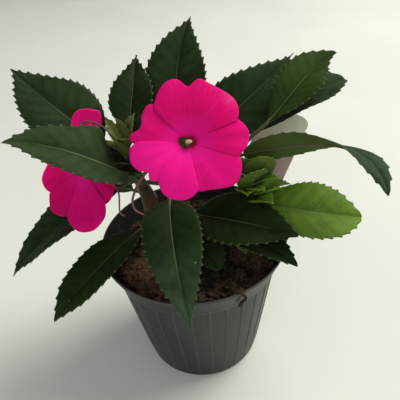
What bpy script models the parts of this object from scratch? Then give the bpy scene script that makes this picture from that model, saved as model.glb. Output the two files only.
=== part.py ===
"""New Guinea impatiens growing in a 12 cm grower's pot.

Metres, +Z up. The origin is the middle of the pot's underside, on the ground. The plant's open,
flowering side looks along -Y. Every length in the tables below is in millimetres.
"""
import bpy
import bmesh
import math
import random
from mathutils import Vector, noise
from mathutils.bvhtree import BVHTree

MM = 0.001
SEED = 7

# pot
RIM_R = 60.0          # outer radius at the lip
POT_H = 99.0          # height to the lip
FOOT_R = 41.0         # outer radius at the foot
SHOULDER_R = 53.2     # outer radius just under the collar
COLLAR_H = 15.0       # height of the smooth collar band
WALL = 1.3            # wall thickness
RIBS = 30             # fine upright ribs on the body
RIB_H = 0.45          # how far a rib stands out
RIB_HALF = 0.62       # half the angle a rib takes, degrees
DRAINS = 6            # drain holes in the base
DRAIN_R = 3.2

# fit
GAP = 0.3             # clearance between pieces that rest on each other
SOIL_TOP = 87.5       # mean height of the peat
SOIL_BUMP = 1.6

# leaf blades
EDGE_T = 0.33         # half the thickness of a blade at its edge
PETIOLE_R = 1.15      # radius of a leaf stalk
TOOTH = 0.55          # depth of the teeth along a blade's edge

# stems: centre line points with a radius, from inside the peat to the growing tip
STEMS = {
    "stem_left": [(-24, 16, 58, 4.3), (-24, 16, 91, 4.3), (-25, 14, 100, 4.4), (-26, 11, 110, 4.9),
                  (-26, 10, 122, 5.0), (-29, 7, 136, 3.6), (-31, 5, 148, 3.0), (-33, 3, 163, 2.2),
                  (-33, 3, 168, 1.4)],
    "stem_middle": [(-6, 19, 60, 3.6), (-6, 19, 91, 3.6), (-7, 18, 100, 3.4), (-8, 16, 120, 3.2),
                    (-4, 18, 143, 2.8), (0, 20, 160, 2.0), (0, 20, 167, 1.2)],
    "stem_right": [(25, 17, 62, 3.3), (25, 17, 91, 3.3), (29, 15, 99, 3.0), (34, 12, 110, 2.9),
                   (36, 9, 122, 2.5), (33, 8, 138, 2.1), (31, 8, 150, 1.7), (33, 10, 158, 1.2)],
}


def leaf_row(stem, root, tip, wide, lift=(8, 8), bow=(0, 0), roll=(0, 0), fold=12, stalk=0.12,
             peak=0.42, base=1.0, reach=(0.33, 0.67), tone=0, wave=0.0, cuts=20):
    """One leaf of the table: where it leaves the stem, where its tip is, and how it bends."""
    return dict(stem=stem, root=root, tip=tip, wide=wide, lift=lift, bow=bow, roll=roll, fold=fold,
                stalk=stalk, peak=peak, base=base, reach=reach, tone=tone, wave=wave, cuts=cuts)


# leaves, by where they stand round the plant
LEAVES = {
    "leaf_left_back": leaf_row("stem_left", (-32, 4, 158), (-103, 52, 199), 45, (-6, -4), (-2, -2),
                               (14, 14), stalk=0.2, peak=0.4),
    "leaf_left_front": leaf_row("stem_left", (-33, 2, 146), (-89, -23, 187), 35, (8, 11), (-20, -4),
                                (25, 22), stalk=0.04, peak=0.35, base=0.55),
    "leaf_back_small": leaf_row("stem_left", (-33, 4, 167), (-25, 52, 201), 27, (2, 4), (2, 1), peak=0.36),
    "leaf_back_left": leaf_row("stem_left", (-31, 8, 150), (10, 84, 212), 27, (-3, -3), (-4, 5),
                               (-24, -14)),
    "leaf_back_middle": leaf_row("stem_middle", (-2, 22, 163), (10, 63, 218), 37, (3, 6), (-7, -5),
                                 (-8, -8), peak=0.38),
    "leaf_back_right": leaf_row("stem_middle", (1, 21, 147), (72.9, 55.6, 192.7), 40, (3, 3), (6, 8),
                                (-36, -33), peak=0.36),
    "leaf_right_upper": leaf_row("stem_right", (34, 9, 156), (91.9, 31.6, 198.5), 30, (5, 3), (13, -7),
                                 (-10, -10), stalk=0.24, peak=0.6, base=1.15, tone=1),
    "leaf_right_back": leaf_row("stem_right", (32, 10, 152), (100, 33, 181), 42, (4, 4), (-7, -8),
                                stalk=0.2, peak=0.66),
    "leaf_right_long": leaf_row("stem_right", (31, 8, 149), (99.6, -45.4, 150.6), 24, (7, 20), (-20, -29),
                                (94, -15), fold=4, stalk=0.03, base=0.6, reach=(0.32, 0.78), tone=1),
    "leaf_right_low": leaf_row("stem_right", (36, 7, 120), (102, -17, 114), 38, (1, 3), (9, 9), (-25, -25),
                               stalk=0.1, peak=0.54, base=0.9, tone=2),
    "leaf_front_right": leaf_row("stem_middle", (-6, 12, 107), (60, -32, 117), 38, (5, 6), (4, 4),
                                 (-20, -20), base=0.8),
    "leaf_rim_right": leaf_row("stem_middle", (-2, 15, 102), (60, -36, 97), 28, (6, 9), peak=0.5),
    "leaf_front": leaf_row("stem_middle", (-12, 6, 133), (-5, -68, 91), 35, (8, 12), (4, 4), peak=0.33,
                           base=0.62),
    "leaf_front_left": leaf_row("stem_left", (-27, 11, 104), (-84, -52, 85), 30, (7, 9), (-1, -1),
                                peak=0.5),
    "leaf_left_low": leaf_row("stem_left", (-31, 6, 140), (-111, -26, 99), 38, (8, 10), (3, 3)),
    "leaf_left_inner": leaf_row("stem_left", (-29, 8, 128), (-82, 30, 123), 26, (6, 6)),
    "leaf_under_front": leaf_row("stem_middle", (-5, 13, 97), (14, -31, 94), 22, (1, 2), peak=0.6),
    "leaf_under_right": leaf_row("stem_right", (27, 14, 95), (31, -22.5, 98), 13, (0, 1), peak=0.5, tone=2,
                                 cuts=12),
    "shoot_right_1": leaf_row("stem_right", (37.5, 5, 124), (48, -6, 155), 20, (1, 3), roll=(40, 40),
                              stalk=0.16, peak=0.5, base=0.8, tone=2, cuts=12),
    "shoot_right_2": leaf_row("stem_right", (39, 8, 120), (57, 10, 131), 14, (1, 2), stalk=0.16, cuts=8),
    "shoot_left_1": leaf_row("stem_left", (-35, 4, 161), (-45, 19, 177), 8, (1, 2), stalk=0.1, tone=2,
                             cuts=8),
    "shoot_left_2": leaf_row("stem_left", (-33.5, 0.5, 157), (-37, -8, 175), 8, (1, 2), stalk=0.1, tone=2,
                             cuts=8),
}


def clear_scene():
    for item in list(bpy.data.objects):
        bpy.data.objects.remove(item, do_unlink=True)


def material(name, colour, rough):
    mat = bpy.data.materials.new(name)
    mat.use_nodes = True
    shader = mat.node_tree.nodes["Principled BSDF"]
    shader.inputs["Base Color"].default_value = (*colour, 1.0)
    shader.inputs["Roughness"].default_value = rough
    return mat


def solid(name, verts, faces, mat, smooth=False):
    """A closed mesh object from points in millimetres."""
    mesh = bpy.data.meshes.new(name)
    mesh.from_pydata([Vector(v) * MM for v in verts], [], faces)
    bm = bmesh.new()
    bm.from_mesh(mesh)
    bmesh.ops.recalc_face_normals(bm, faces=bm.faces)
    bm.to_mesh(mesh)
    bm.free()
    mesh.materials.append(mat)
    for poly in mesh.polygons:
        poly.use_smooth = smooth
    obj = bpy.data.objects.new(name, mesh)
    bpy.context.scene.collection.objects.link(obj)
    return obj


def boolean(target, tools, operation, solver="EXACT"):
    """Apply one boolean with all the tools at once, then drop them."""
    group = bpy.data.collections.new(target.name + "_tools")
    bpy.context.scene.collection.children.link(group)
    for tool in tools:
        group.objects.link(tool)
        tool.hide_render = True
        tool.display_type = "WIRE"
    mod = target.modifiers.new("cut", "BOOLEAN")
    mod.operation = operation
    mod.solver = solver
    mod.operand_type = "COLLECTION"
    mod.collection = group
    bpy.context.view_layer.update()
    done = bpy.data.meshes.new_from_object(target.evaluated_get(bpy.context.evaluated_depsgraph_get()))
    target.modifiers.clear()
    target.data = done
    for tool in tools:
        bpy.data.objects.remove(tool, do_unlink=True)
    bpy.data.collections.remove(group)
    return target


def cylinder(name, centre, radius, low, high, sides=16):
    verts, faces = [], []
    for z in (low, high):
        for k in range(sides):
            a = 2 * math.pi * k / sides
            verts.append((centre[0] + radius * math.cos(a), centre[1] + radius * math.sin(a), z))
    faces.append(list(range(sides))[::-1])
    faces.append([sides + k for k in range(sides)])
    for k in range(sides):
        n = (k + 1) % sides
        faces.append([k, n, sides + n, sides + k])
    return solid(name, verts, faces, MATS["cutter"])


def ring_angles():
    """Three points for every rib, so the pot, its lining and the peat share one set of facets."""
    out = []
    for k in range(RIBS):
        a = 360.0 * k / RIBS
        out += [(a - RIB_HALF, 0), (a, 1), (a + RIB_HALF, 0)]
    return out


def spin(profile, rib_rows=()):
    """Revolve a profile that starts and ends on the axis. Rows named in rib_rows carry the ribs."""
    angles = ring_angles()
    count = len(angles)
    verts, faces = [(0, 0, profile[0][1])], []
    for row, (r, z) in enumerate(profile[1:-1]):
        for deg, on_rib in angles:
            a = math.radians(deg)
            rr = r + (RIB_H if on_rib and row in rib_rows else 0)
            verts.append((rr * math.cos(a), rr * math.sin(a), z))
    rows = len(profile) - 2
    verts.append((0, 0, profile[-1][1]))
    last = len(verts) - 1
    for k in range(count):
        n = (k + 1) % count
        faces.append([0, 1 + n, 1 + k])
        for row in range(rows - 1):
            a, b = 1 + row * count, 1 + (row + 1) * count
            faces.append([a + k, a + n, b + n, b + k])
        top = 1 + (rows - 1) * count
        faces.append([top + k, top + n, last])
    return verts, faces


def inner_radius(z):
    """Radius of the pot's inside at a height."""
    low, high = (4.0, FOOT_R - WALL), (POT_H - COLLAR_H - 1.2, SHOULDER_R - WALL)
    if z <= high[0]:
        t = (z - low[0]) / (high[0] - low[0])
        return low[1] + (high[1] - low[1]) * t
    if z <= high[0] + 2.2:
        return high[1] + (z - high[0]) / 2.2 * 1.8
    t = (z - high[0] - 2.2) / (POT_H - 0.8 - high[0] - 2.2)
    return high[1] + 1.8 + t * (RIM_R - 1.2 - high[1] - 1.8)


def make_pot():
    """Thin moulded shell: foot ring, ribbed tapered body, step, smooth collar and plain lip."""
    collar = POT_H - COLLAR_H
    outer = [(0, 0), (13, 0), (14.2, 2.2), (34.4, 2.2), (35.6, 0), (FOOT_R - 1.0, 0),
             (FOOT_R + 0.3, 3.0), (SHOULDER_R, collar - 1.4),
             (SHOULDER_R + 1.8, collar + 0.2), (RIM_R, POT_H - 1.2), (RIM_R - 0.3, POT_H)]
    inner = [(RIM_R - 1.1, POT_H)]
    inner += [(inner_radius(z), z) for z in (collar + 1.0, collar - 1.2, 4.0)]
    inner += [(0, 4.0)]
    ribbed = (5, 6)
    verts, faces = spin(outer + inner, rib_rows=ribbed)
    pot = solid("pot", verts, faces, MATS["pot"])
    drains = []
    for k in range(DRAINS):
        a = 2 * math.pi * (k + 0.5) / DRAINS
        drains.append(cylinder("drain_%d" % k, (24 * math.cos(a), 24 * math.sin(a)), DRAIN_R, -2, 6, 12))
    return boolean(pot, drains, "DIFFERENCE")


def soil_height(x, y):
    """Peat heaped a little round the stems, sunk at the wall, lumpy all over."""
    r = math.hypot(x, y)
    bump = noise.noise(Vector((x * 0.085, y * 0.085, 3.0)))
    bump += 0.6 * noise.noise(Vector((x * 0.21, y * 0.21, 8.0)))
    return SOIL_TOP + SOIL_BUMP * bump + 1.0 - 1.8 * (r / 54.0) ** 2


def make_soil():
    """Peat plug that fills the pot, a hair clear of its wall, with a hole for each stem."""
    angles = [math.radians(a) for a, _ in ring_angles()]
    count = len(angles)
    sides = [(4.0 + GAP, 2), (POT_H - COLLAR_H - 1.2, 0), (SOIL_TOP - 1.6, 0)]
    verts, faces = [(0, 0, 4.0 + GAP)], []
    for z, _ in sides:
        r = inner_radius(z) - GAP
        verts += [(r * math.cos(a), r * math.sin(a), z) for a in angles]
    edge = inner_radius(SOIL_TOP - 1.6) - GAP
    rings = [0.93, 0.78, 0.6, 0.4, 0.2]
    for f in rings:
        for a in angles:
            x, y = edge * f * math.cos(a), edge * f * math.sin(a)
            verts.append((x, y, soil_height(x, y)))
    verts.append((0, 0, soil_height(0, 0)))
    rows = len(sides) + len(rings)
    for k in range(count):
        n = (k + 1) % count
        faces.append([0, 1 + n, 1 + k])
        for row in range(rows - 1):
            a, b = 1 + row * count, 1 + (row + 1) * count
            if row < 2:
                faces.append([a + k, a + n, b + n, b + k])
            else:
                faces += [[a + k, a + n, b + n], [a + k, b + n, b + k]]
        top = 1 + (rows - 1) * count
        faces.append([top + k, top + n, len(verts) - 1])
    soil = solid("soil", verts, faces, MATS["soil"])
    cutters = []
    for name, path in STEMS.items():
        x, y, z, r = path[0]
        cutters.append(cylinder(name + "_hole", (x, y), r + GAP, z - 1.0, 110, 14))
    cutters.append(label_solid("label_slot", GAP))
    return boolean(soil, cutters, "DIFFERENCE")


def tube(name, path, mat, sides=8, closed_r=None):
    """Tapered stalk along (x, y, z, r) points; parallel-transported rings, flat ends."""
    pts = [Vector(p[:3]) for p in path]
    verts, faces = [], []
    side = None
    for i, p in enumerate(pts):
        ahead = (pts[min(i + 1, len(pts) - 1)] - pts[max(i - 1, 0)]).normalized()
        if side is None:
            side = ahead.orthogonal().normalized()
        side = (side - ahead * side.dot(ahead)).normalized()
        other = ahead.cross(side)
        for k in range(sides):
            a = 2 * math.pi * k / sides
            verts.append(p + (side * math.cos(a) + other * math.sin(a)) * path[i][3])
    for i in range(len(pts) - 1):
        for k in range(sides):
            n = (k + 1) % sides
            a, b = i * sides, (i + 1) * sides
            faces += [[a + k, a + n, b + n], [a + k, b + n, b + k]]
    faces.append([k for k in range(sides)][::-1])
    faces.append([(len(pts) - 1) * sides + k for k in range(sides)])
    return solid(name, verts, faces, mat, smooth=True)


def smooth_path(path, steps):
    """Catmull-Rom through (x, y, z, r) points."""
    out = []
    pts = [path[0]] + list(path) + [path[-1]]
    for i in range(len(path) - 1):
        p0, p1, p2, p3 = pts[i:i + 4]
        for s in range(steps):
            t = s / steps
            out.append(tuple(0.5 * (2 * b + (c - a) * t + (2 * a - 5 * b + 4 * c - d) * t * t
                                    + (3 * b - a - 3 * c + d) * t ** 3)
                             for a, b, c, d in zip(p0, p1, p2, p3)))
    out.append(tuple(path[-1]))
    return out


def stem_path(name):
    """Straight where it stands in the peat, curved above it, swollen where leaves join."""
    raw = STEMS[name]
    return [raw[0]] + smooth_path(raw[1:], 3)


def on_axis(path, p):
    """Nearest point of a stem's centre line, and how far p lies outside the stem."""
    best = None
    for a, b in zip(path[:-1], path[1:]):
        pa, pb = Vector(a[:3]), Vector(b[:3])
        d = pb - pa
        t = max(0.0, min(1.0, (p - pa).dot(d) / d.length_squared))
        q = pa + d * t
        out = (p - q).length - (a[3] + (b[3] - a[3]) * t)
        if best is None or out < best[1]:
            best = (q, out)
    return best


def stem_surface(name):
    """The stem's own faces in millimetres, to measure the clearance of what joins it."""
    mesh = bpy.data.objects[name].data
    return BVHTree.FromPolygons([v.co / MM for v in mesh.vertices], [list(f.vertices) for f in mesh.polygons])


def leaf_curve(leaf):
    """Midrib as a cubic from the stem to the tip; lift bends it up, bow bends it sideways."""
    root, tip = Vector(leaf["root"]), Vector(leaf["tip"])
    chord = tip - root
    side = chord.cross(Vector((0, 0, 1))).normalized()
    up = side.cross(chord).normalized()
    f1, f2 = leaf["reach"]
    p = [root, root + chord * f1 + up * leaf["lift"][0] + side * leaf["bow"][0],
         root + chord * f2 + up * leaf["lift"][1] + side * leaf["bow"][1], tip]

    def at(u):
        v = 1 - u
        return p[0] * v ** 3 + p[1] * 3 * u * v * v + p[2] * 3 * u * u * v + p[3] * u ** 3

    def along(u):
        v = 1 - u
        return ((p[1] - p[0]) * v * v + (p[2] - p[1]) * 2 * u * v + (p[3] - p[2]) * u * u).normalized()

    return at, along


def leaf_width(leaf, s):
    """Half width of the blade at a share of its length: lance-shaped, drawn out to the tip."""
    if s <= 0 or s >= 1:
        return 0.0
    pk, b = leaf["peak"], leaf["base"]
    q = b * (1 - pk) / pk
    return leaf["wide"] / 2 * ((s ** b * (1 - s) ** q) / (pk ** b * (1 - pk) ** q)) ** 0.85


def make_leaf(name, leaf):
    """Stalk, blade and raised midrib as one loft of six-point sections with toothed edges."""
    at, along = leaf_curve(leaf)
    stem, surface = stem_path(leaf["stem"]), stem_surface(leaf["stem"])
    stalk, cuts = leaf["stalk"], leaf["cuts"]
    foot, knee, head = on_axis(stem, Vector(leaf["root"]))[0], Vector(leaf["root"]), at(stalk)

    def stalk_at(f):
        return foot * (1 - f) ** 2 + knee * 2 * f * (1 - f) + head * f * f

    def section(mid, t, s, w, push, pr):
        """Six points across the leaf: upper edge, middle, edge, then back along the underside."""
        side = t.cross(Vector((0, 0, 1))).normalized()
        up = side.cross(t).normalized()
        r = math.radians(leaf["roll"][0] + (leaf["roll"][1] - leaf["roll"][0]) * s)
        across = side * math.cos(r) + up * math.sin(r)
        normal = up * math.cos(r) - side * math.sin(r)
        start = min(1.0, s / 0.12)
        edge_t = 0.5 * pr * (1 - start) + EDGE_T * start
        mid_top = pr * (1 - start) + EDGE_T * start
        rib = pr * (1 - start) + (1.15 - 0.7 * s) * start
        fold = math.radians(leaf["fold"]) * start
        ripple = leaf["wave"] * math.sin(s * 17.0) * start
        left, right = [mid + across * sign * w * math.cos(fold) + t * push
                       + normal * (w * math.sin(fold) + ripple * sign) for sign in (-1, 1)]
        return [left + normal * edge_t, mid + normal * mid_top, right + normal * edge_t,
                right - normal * edge_t, mid - normal * rib, left - normal * edge_t]

    def stalk_section(f, pr):
        return section(stalk_at(f), (stalk_at(f + 0.01) - stalk_at(f)).normalized(), 0.0, pr * 0.9, 0.0, pr)

    first = 0.0
    while first < 0.8:
        ring = stalk_section(first, PETIOLE_R * 0.6)
        spots = ring + [(ring[k] + ring[(k + 1) % 6]) / 2 for k in range(6)] + [stalk_at(first)]
        if all(on_axis(stem, p)[1] > -0.3 and surface.find_nearest(p)[3] > GAP for p in spots):
            break
        first += 0.004
    verts = stalk_section(first, PETIOLE_R * 0.6)
    for f in (0.3, 0.7):
        verts += stalk_section(first + (1 - first) * f, PETIOLE_R)
    for i in range(cuts + 1):
        s = i / cuts
        u = stalk + (1 - stalk) * s
        tooth = TOOTH * (1 if i % 2 else -1) if 0.1 < s < 0.97 else 0.0
        pr = PETIOLE_R
        w = max(leaf_width(leaf, s) + tooth, pr * 0.9 if s < 0.5 else 0.45)
        verts += section(at(u), along(u), s, w, 1.1 if tooth > 0 else 0.0, pr)
    faces = []
    n = cuts + 4
    for i in range(n - 1):
        a, b = i * 6, (i + 1) * 6
        faces += [[a, a + 1, b], [a + 1, b + 1, b], [a + 2, b + 2, a + 1], [a + 1, b + 2, b + 1],
                  [a + 5, b + 5, a + 4], [a + 4, b + 5, b + 4], [a + 3, a + 4, b + 3], [a + 4, b + 4, b + 3],
                  [a, b, b + 5], [a, b + 5, a + 5], [a + 2, a + 3, b + 3], [a + 2, b + 3, b + 2]]
    faces += [[0, 5, 4], [0, 4, 1], [1, 4, 3], [1, 3, 2]]
    e = (n - 1) * 6
    faces += [[e, e + 4, e + 5], [e, e + 1, e + 4], [e + 1, e + 3, e + 4], [e + 1, e + 2, e + 3]]
    return solid(name, verts, faces, MATS["leaf_%d" % leaf["tone"]])


# blooms: each petal is (first angle, last angle, radii across it, height above the flower's plane)
BLOOMS = {
    "bloom_front": dict(
        centre=(2, -17, 175), normal=(0.02, -0.81, 0.585), turn=-5, face=1, deep=1.0, reach=33.0,
        petals=[
            (137, 21, (23.5, 27, 30.5, 33.3, 33.0, 28.6, 33.4, 32.6, 32.4, 33.0, 33.2, 31.5, 27.5),
             1.9),
            (30, -18, (26.5, 29.5, 31.8, 32.6, 31.8, 29.6, 27.0), 1.0),
            (-9, -84, (26.0, 29.0, 31.6, 33.0, 33.2, 31.0, 28.8, 27.2, 26.6, 25.0), 0.0),
            (-76, -136, (25.0, 28.4, 30.2, 30.6, 30.4, 28.6, 25.0, 20.0), 1.8),
            (-124, -181, (23.0, 26.5, 27.4, 25.6, 29.0, 30.6, 31.2, 30.6, 29.6, 26.0), 0.9),
            (187, 129, (22.0, 28.6, 29.8, 25.8, 25.4, 27.0, 27.8, 28.0, 25.5), 0.0),
        ],
        spur=[(-1.8, -1.0, -7.6, 1.5), (-9, -5, -12, 1.3), (-20, -12, -13, 0.9), (-26.5, -20, -12, 0.7),
              (-29.5, -27, -11, 0.65), (-30, -31, -10, 0.65), (-28.5, -35, -10, 0.6), (-24, -37.5, -10, 0.5)],
        stalk=[(1, 6, 160, 0.9), (-1, 15.6, 152, 1.0)]),
    "bloom_left": dict(
        centre=(-59, -3, 158), normal=(0.3, -0.77, 0.56), turn=-17, face=-1, deep=0.6,
        reach=32.0,
        petals=[
            (106, 66, (23.0, 29.0, 31.6, 32.0, 32.4, 32.6, 27.0), 1.2),
            (72, -20, (18.0, 19.0, 19.0, 18.4, 17.4, 17.8, 18.4, 18.6, 18.0), 0.0),
            (-12, -66, (18.0, 20.4, 21.4, 23.0, 24.4, 25.4, 24.0), 1.2),
            (-58, -108, (24.0, 30.5, 34.0, 36.6, 37.4, 36.8, 33.5, 28.0), 2.4),
            (-100, -139, (25.0, 29.6, 30.6, 30.0, 26.5, 23.0), 1.2),
            (-130, -184, (20.0, 23.0, 23.4, 22.4, 20.0, 18.0), 0.0),
            (182, 98, (18.0, 20.5, 22.0, 21.4, 20.6, 21.8, 22.4, 20.0), -1.2),
        ],
        spur=[(2, -0.8, -6.0, 1.2), (7, -3, -7.6, 1.1), (14, -7, -7.6, 0.8), (19.5, -15, -7, 0.55),
              (20.3, -26, -6.5, 0.45), (23, -28.5, -6.5, 0.4)],
        stalk=[(-57, -4, 170, 0.7), (-57, 3, 173.5, 0.6), (-56.8, 8, 178, 0.5), (-53.6, 9.2, 179.4, 0.5),
               (-47.4, 8.5, 177.5, 0.5), (-41.5, 5, 173.5, 0.55), (-37.6, 2.6, 168, 0.7),
               (-36.4, 2.2, 164, 1.0)]),
}
PETAL_T = 0.7         # petal thickness
THROAT_R = 4.2        # opening in the middle of a flower
HUB_R = 6.6           # where the petals are one piece


def flower_frame(bloom):
    """Right, up and outward directions of a flower as the front view shows it."""
    n = Vector(bloom["normal"]).normalized()
    x = Vector((0, 0, 1)).cross(n).normalized()
    y = n.cross(x)
    r = math.radians(bloom["turn"])
    return x * math.cos(r) + y * math.sin(r), y * math.cos(r) - x * math.sin(r), n


def petal_surface(radius, reach, face, layer):
    """Height of a petal above the flower's plane: low at the throat, arched, its rim turned back."""
    t = max(0.0, (radius - THROAT_R) / (reach - THROAT_R))
    rise = -2.2 * (1 - t) ** 3 + 1.6 * math.sin(math.pi * t) - 1.2 * t ** 3
    return face * rise + layer * min(1.0, t * 2.2)


def make_petal(name, bloom, petal, mat):
    """One petal: a curved slab from the throat out to its own rounded, notched rim."""
    first, last, reach, layer = petal
    right, up, out = flower_frame(bloom)
    centre = Vector(bloom["centre"])
    across = len(reach)
    steps = 4
    top, low = [], []
    for j, rmax in enumerate(reach):
        a = math.radians(first + (last - first) * j / (across - 1))
        flank = math.sin(math.pi * j / (across - 1)) ** 2
        for f, r in enumerate((THROAT_R, 10.0, 10.0 + (rmax - 10.0) * 0.5, rmax)):
            p = centre + right * (r * math.cos(a)) + up * (r * math.sin(a))
            h = petal_surface(r, bloom["reach"], bloom["face"], layer) + 0.17 * flank * f
            top.append(p + out * (h + PETAL_T / 2))
            low.append(p + out * (h - PETAL_T / 2))
    n = steps
    verts = top + low
    shift = len(top)
    faces = []
    for j in range(across - 1):
        for i in range(n - 1):
            a, b = j * n + i, (j + 1) * n + i
            faces += [[a, a + 1, b], [a + 1, b + 1, b]]
            faces += [[shift + a, shift + b, shift + a + 1], [shift + a + 1, shift + b, shift + b + 1]]
        for i in (0, n - 1):
            a, b = j * n + i, (j + 1) * n + i
            faces += [[a, b, shift + b], [a, shift + b, shift + a]]
    for j in (0, across - 1):
        for i in range(n - 1):
            a, b = j * n + i, j * n + i + 1
            faces += [[a, b, shift + b], [a, shift + b, shift + a]]
    return solid(name, verts, faces, mat)


def flower_point(bloom, x, y, h):
    """A point by its place right of, above and in front of a flower's middle."""
    right, up, out = flower_frame(bloom)
    return Vector(bloom["centre"]) + right * x + up * y + out * h * bloom["face"]


def flower_ring(name, bloom, rings, mat, sides=20, at=(0, 0), closed=True):
    """Ring round a flower's axis from (radius, height) points; if not closed, a body with two poles."""
    verts, faces = [], []
    body = rings if closed else rings[1:-1]
    for r, h in body:
        for k in range(sides):
            a = 2 * math.pi * k / sides
            verts.append(flower_point(bloom, at[0] + r * math.cos(a), at[1] + r * math.sin(a), h))
    rows = len(body)
    for i in range(rows if closed else rows - 1):
        for k in range(sides):
            n = (k + 1) % sides
            a, b = i * sides, ((i + 1) % rows) * sides
            faces += [[a + k, a + n, b + n], [a + k, b + n, b + k]]
    if not closed:
        verts.append(flower_point(bloom, at[0], at[1], rings[0][1]))
        verts.append(flower_point(bloom, at[0], at[1], rings[-1][1]))
        for k in range(sides):
            n = (k + 1) % sides
            faces.append([k, n, len(verts) - 2])
            faces.append([(rows - 1) * sides + k, (rows - 1) * sides + n, len(verts) - 1])
    return solid(name, verts, faces, mat)


def make_bloom(name, bloom):
    """Petals on their ring, the cup and spur behind it, the column and anther in its throat."""
    mat = MATS["petal"]
    hub = flower_ring(name + "_petals", bloom, [(THROAT_R - 0.3, -3.0), (HUB_R, -2.6), (HUB_R, -0.9),
                                                (THROAT_R - 0.3, -1.5)], mat)
    petals = [make_petal("%s_p%d" % (name, k), bloom, p, mat) for k, p in enumerate(bloom["petals"])]
    boolean(hub, petals, "UNION", "MANIFOLD")

    def deep(h):
        return -3.5 + (h + 3.5) * bloom["deep"]

    cup = [(0, -10.2), (1.6, -9.8), (3.3, -7.6), (4.7, -5.0), (5.2, -3.5), (4.2, -3.5), (3.8, -5.0),
           (2.2, -7.4), (0, -8.0)]
    cup = [(r, deep(h)) for r, h in cup]
    cup = flower_ring(name + "_spur", bloom, cup, MATS["spur"], 12, closed=False)
    path = [tuple(flower_point(bloom, x, y, h)) + (r,) for x, y, h, r in bloom["spur"]]
    spur = tube(name + "_tail", smooth_path(path, 2), MATS["spur"], 6)
    boolean(cup, [spur], "UNION", "MANIFOLD")
    column = [(0, deep(-7.0)), (0.9, deep(-6.8)), (1.5, -3.5), (1.2, -1.6), (0, -1.3)]
    flower_ring(name + "_column", bloom, column, MATS["green"], 8, closed=False)
    anther = [(0, -0.95), (1.0, -0.8), (1.25, 0.2), (0.7, 1.0), (0, 1.2)]
    flower_ring(name + "_anther", bloom, anther, MATS["anther"], 8, closed=False)
    start = [tuple(flower_point(bloom, 0, 0.3 * d, deep(-10.2) - d)) + (0.9,) for d in (0.7, 2.4)]
    path = start[:1] + smooth_path(start[1:] + bloom["stalk"], 3)
    tube(name + "_stalk", path, MATS["green"], 6)


STRAND_AT = -65.0     # where the strand of peat hangs over the lip, degrees from +X
# the strand's centre line: radius from the pot's axis, height, half thickness
STRAND = [(54.4, 91.5, 0.7), (55.4, 94.5, 0.9), (57.0, 98.4, 0.9), (58.4, 100.2, 0.8), (60.0, 100.7, 0.9),
          (61.7, 99.3, 1.0), (61.3, 96.6, 1.0), (60.4, 94.0, 1.2), (59.5, 91.5, 1.1), (58.4, 89.0, 1.2),
          (57.5, 86.6, 1.0), (57.2, 85.0, 0.5)]


def make_strand():
    """Crumbs of peat matted into a strand that lies over the lip."""
    path = []
    for k, (r, z, half) in enumerate(STRAND):
        a = math.radians(STRAND_AT + 1.2 * math.sin(k * 1.1))
        path.append((r * math.cos(a), r * math.sin(a), z, half))
    return tube("peat_strand", path, MATS["soil"], 6)


LABEL = dict(foot=(24, 27, 56), top=(67, 36, 162), wide=30.0, thick=0.8, look=(-0.1, -0.8, 0.58))


def label_solid(name, grow=0.0):
    """Plant label: a plate with rounded top corners that narrows to a tongue in the peat."""
    foot, top = Vector(LABEL["foot"]), Vector(LABEL["top"])
    along = (top - foot).normalized()
    out = Vector(LABEL["look"])
    out = (out - along * out.dot(along)).normalized()
    side = along.cross(out)
    length = (top - foot).length
    half, t = LABEL["wide"] / 2, LABEL["thick"] / 2
    if grow:
        outline = [(-6 - grow, -grow), (6 + grow, -grow), (6 + grow, 60), (-6 - grow, 60)]
        t += grow
    else:
        c = 5.0
        outline = [(-3, 0), (3, 0), (6, 6), (6, 46), (half, 58), (half, length - c)]
        outline += [(half - c + c * math.cos(a), length - c + c * math.sin(a)) for a in (0.4, 0.8, 1.2, 1.57)]
        outline += [(-u, v) for u, v in outline[::-1]]
    verts = [foot + side * u + along * v + out * t for u, v in outline]
    verts += [foot + side * u + along * v - out * t for u, v in outline]
    n = len(outline)
    faces = [list(range(n)), [n + k for k in range(n)][::-1]]
    faces += [[k, (k + 1) % n, n + (k + 1) % n, n + k] for k in range(n)]
    return solid(name, verts, faces, MATS["label"])


MATS = {}


def make_materials():
    MATS["cutter"] = material("cutter", (0.5, 0.5, 0.5), 0.5)
    MATS["pot"] = material("pot_plastic", (0.075, 0.085, 0.085), 0.5)
    MATS["soil"] = material("peat", (0.022, 0.012, 0.008), 0.95)
    MATS["stem"] = material("stem", (0.22, 0.09, 0.045), 0.5)
    MATS["leaf_0"] = material("leaf", (0.035, 0.085, 0.025), 0.5)
    MATS["leaf_1"] = material("leaf_mid", (0.055, 0.12, 0.03), 0.5)
    MATS["leaf_2"] = material("leaf_young", (0.09, 0.19, 0.03), 0.5)
    MATS["green"] = material("stalk_green", (0.08, 0.13, 0.04), 0.5)
    MATS["spur"] = material("spur", (0.45, 0.12, 0.12), 0.5)
    MATS["anther"] = material("anther", (0.75, 0.7, 0.5), 0.6)
    MATS["petal"] = material("petal", (0.78, 0.01, 0.22), 0.55)
    MATS["label"] = material("label_plastic", (0.6, 0.56, 0.52), 0.5)


def main():
    random.seed(SEED)
    clear_scene()
    make_materials()
    make_pot()
    make_soil()
    for name in STEMS:
        tube(name, stem_path(name), MATS["stem"], 10)
    for name, leaf in LEAVES.items():
        make_leaf(name, leaf)
    for name, bloom in BLOOMS.items():
        make_bloom(name, bloom)
    label_solid("plant_label")
    make_strand()


main()
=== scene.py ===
# %% [markdown]
# # A New Guinea impatiens in a grower's pot
# The plant is built the way it grows: peat in a pot, stems out of the peat, leaves and flowers off the
# stems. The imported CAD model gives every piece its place, and this file gives each one its fine shape and
# its finish. Lengths in the tables are millimetres, because that is how one measures a plant.

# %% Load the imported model
import bpy
import bmesh
import math
import random
import numpy as np
from mathutils import Matrix, Vector, noise


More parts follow.
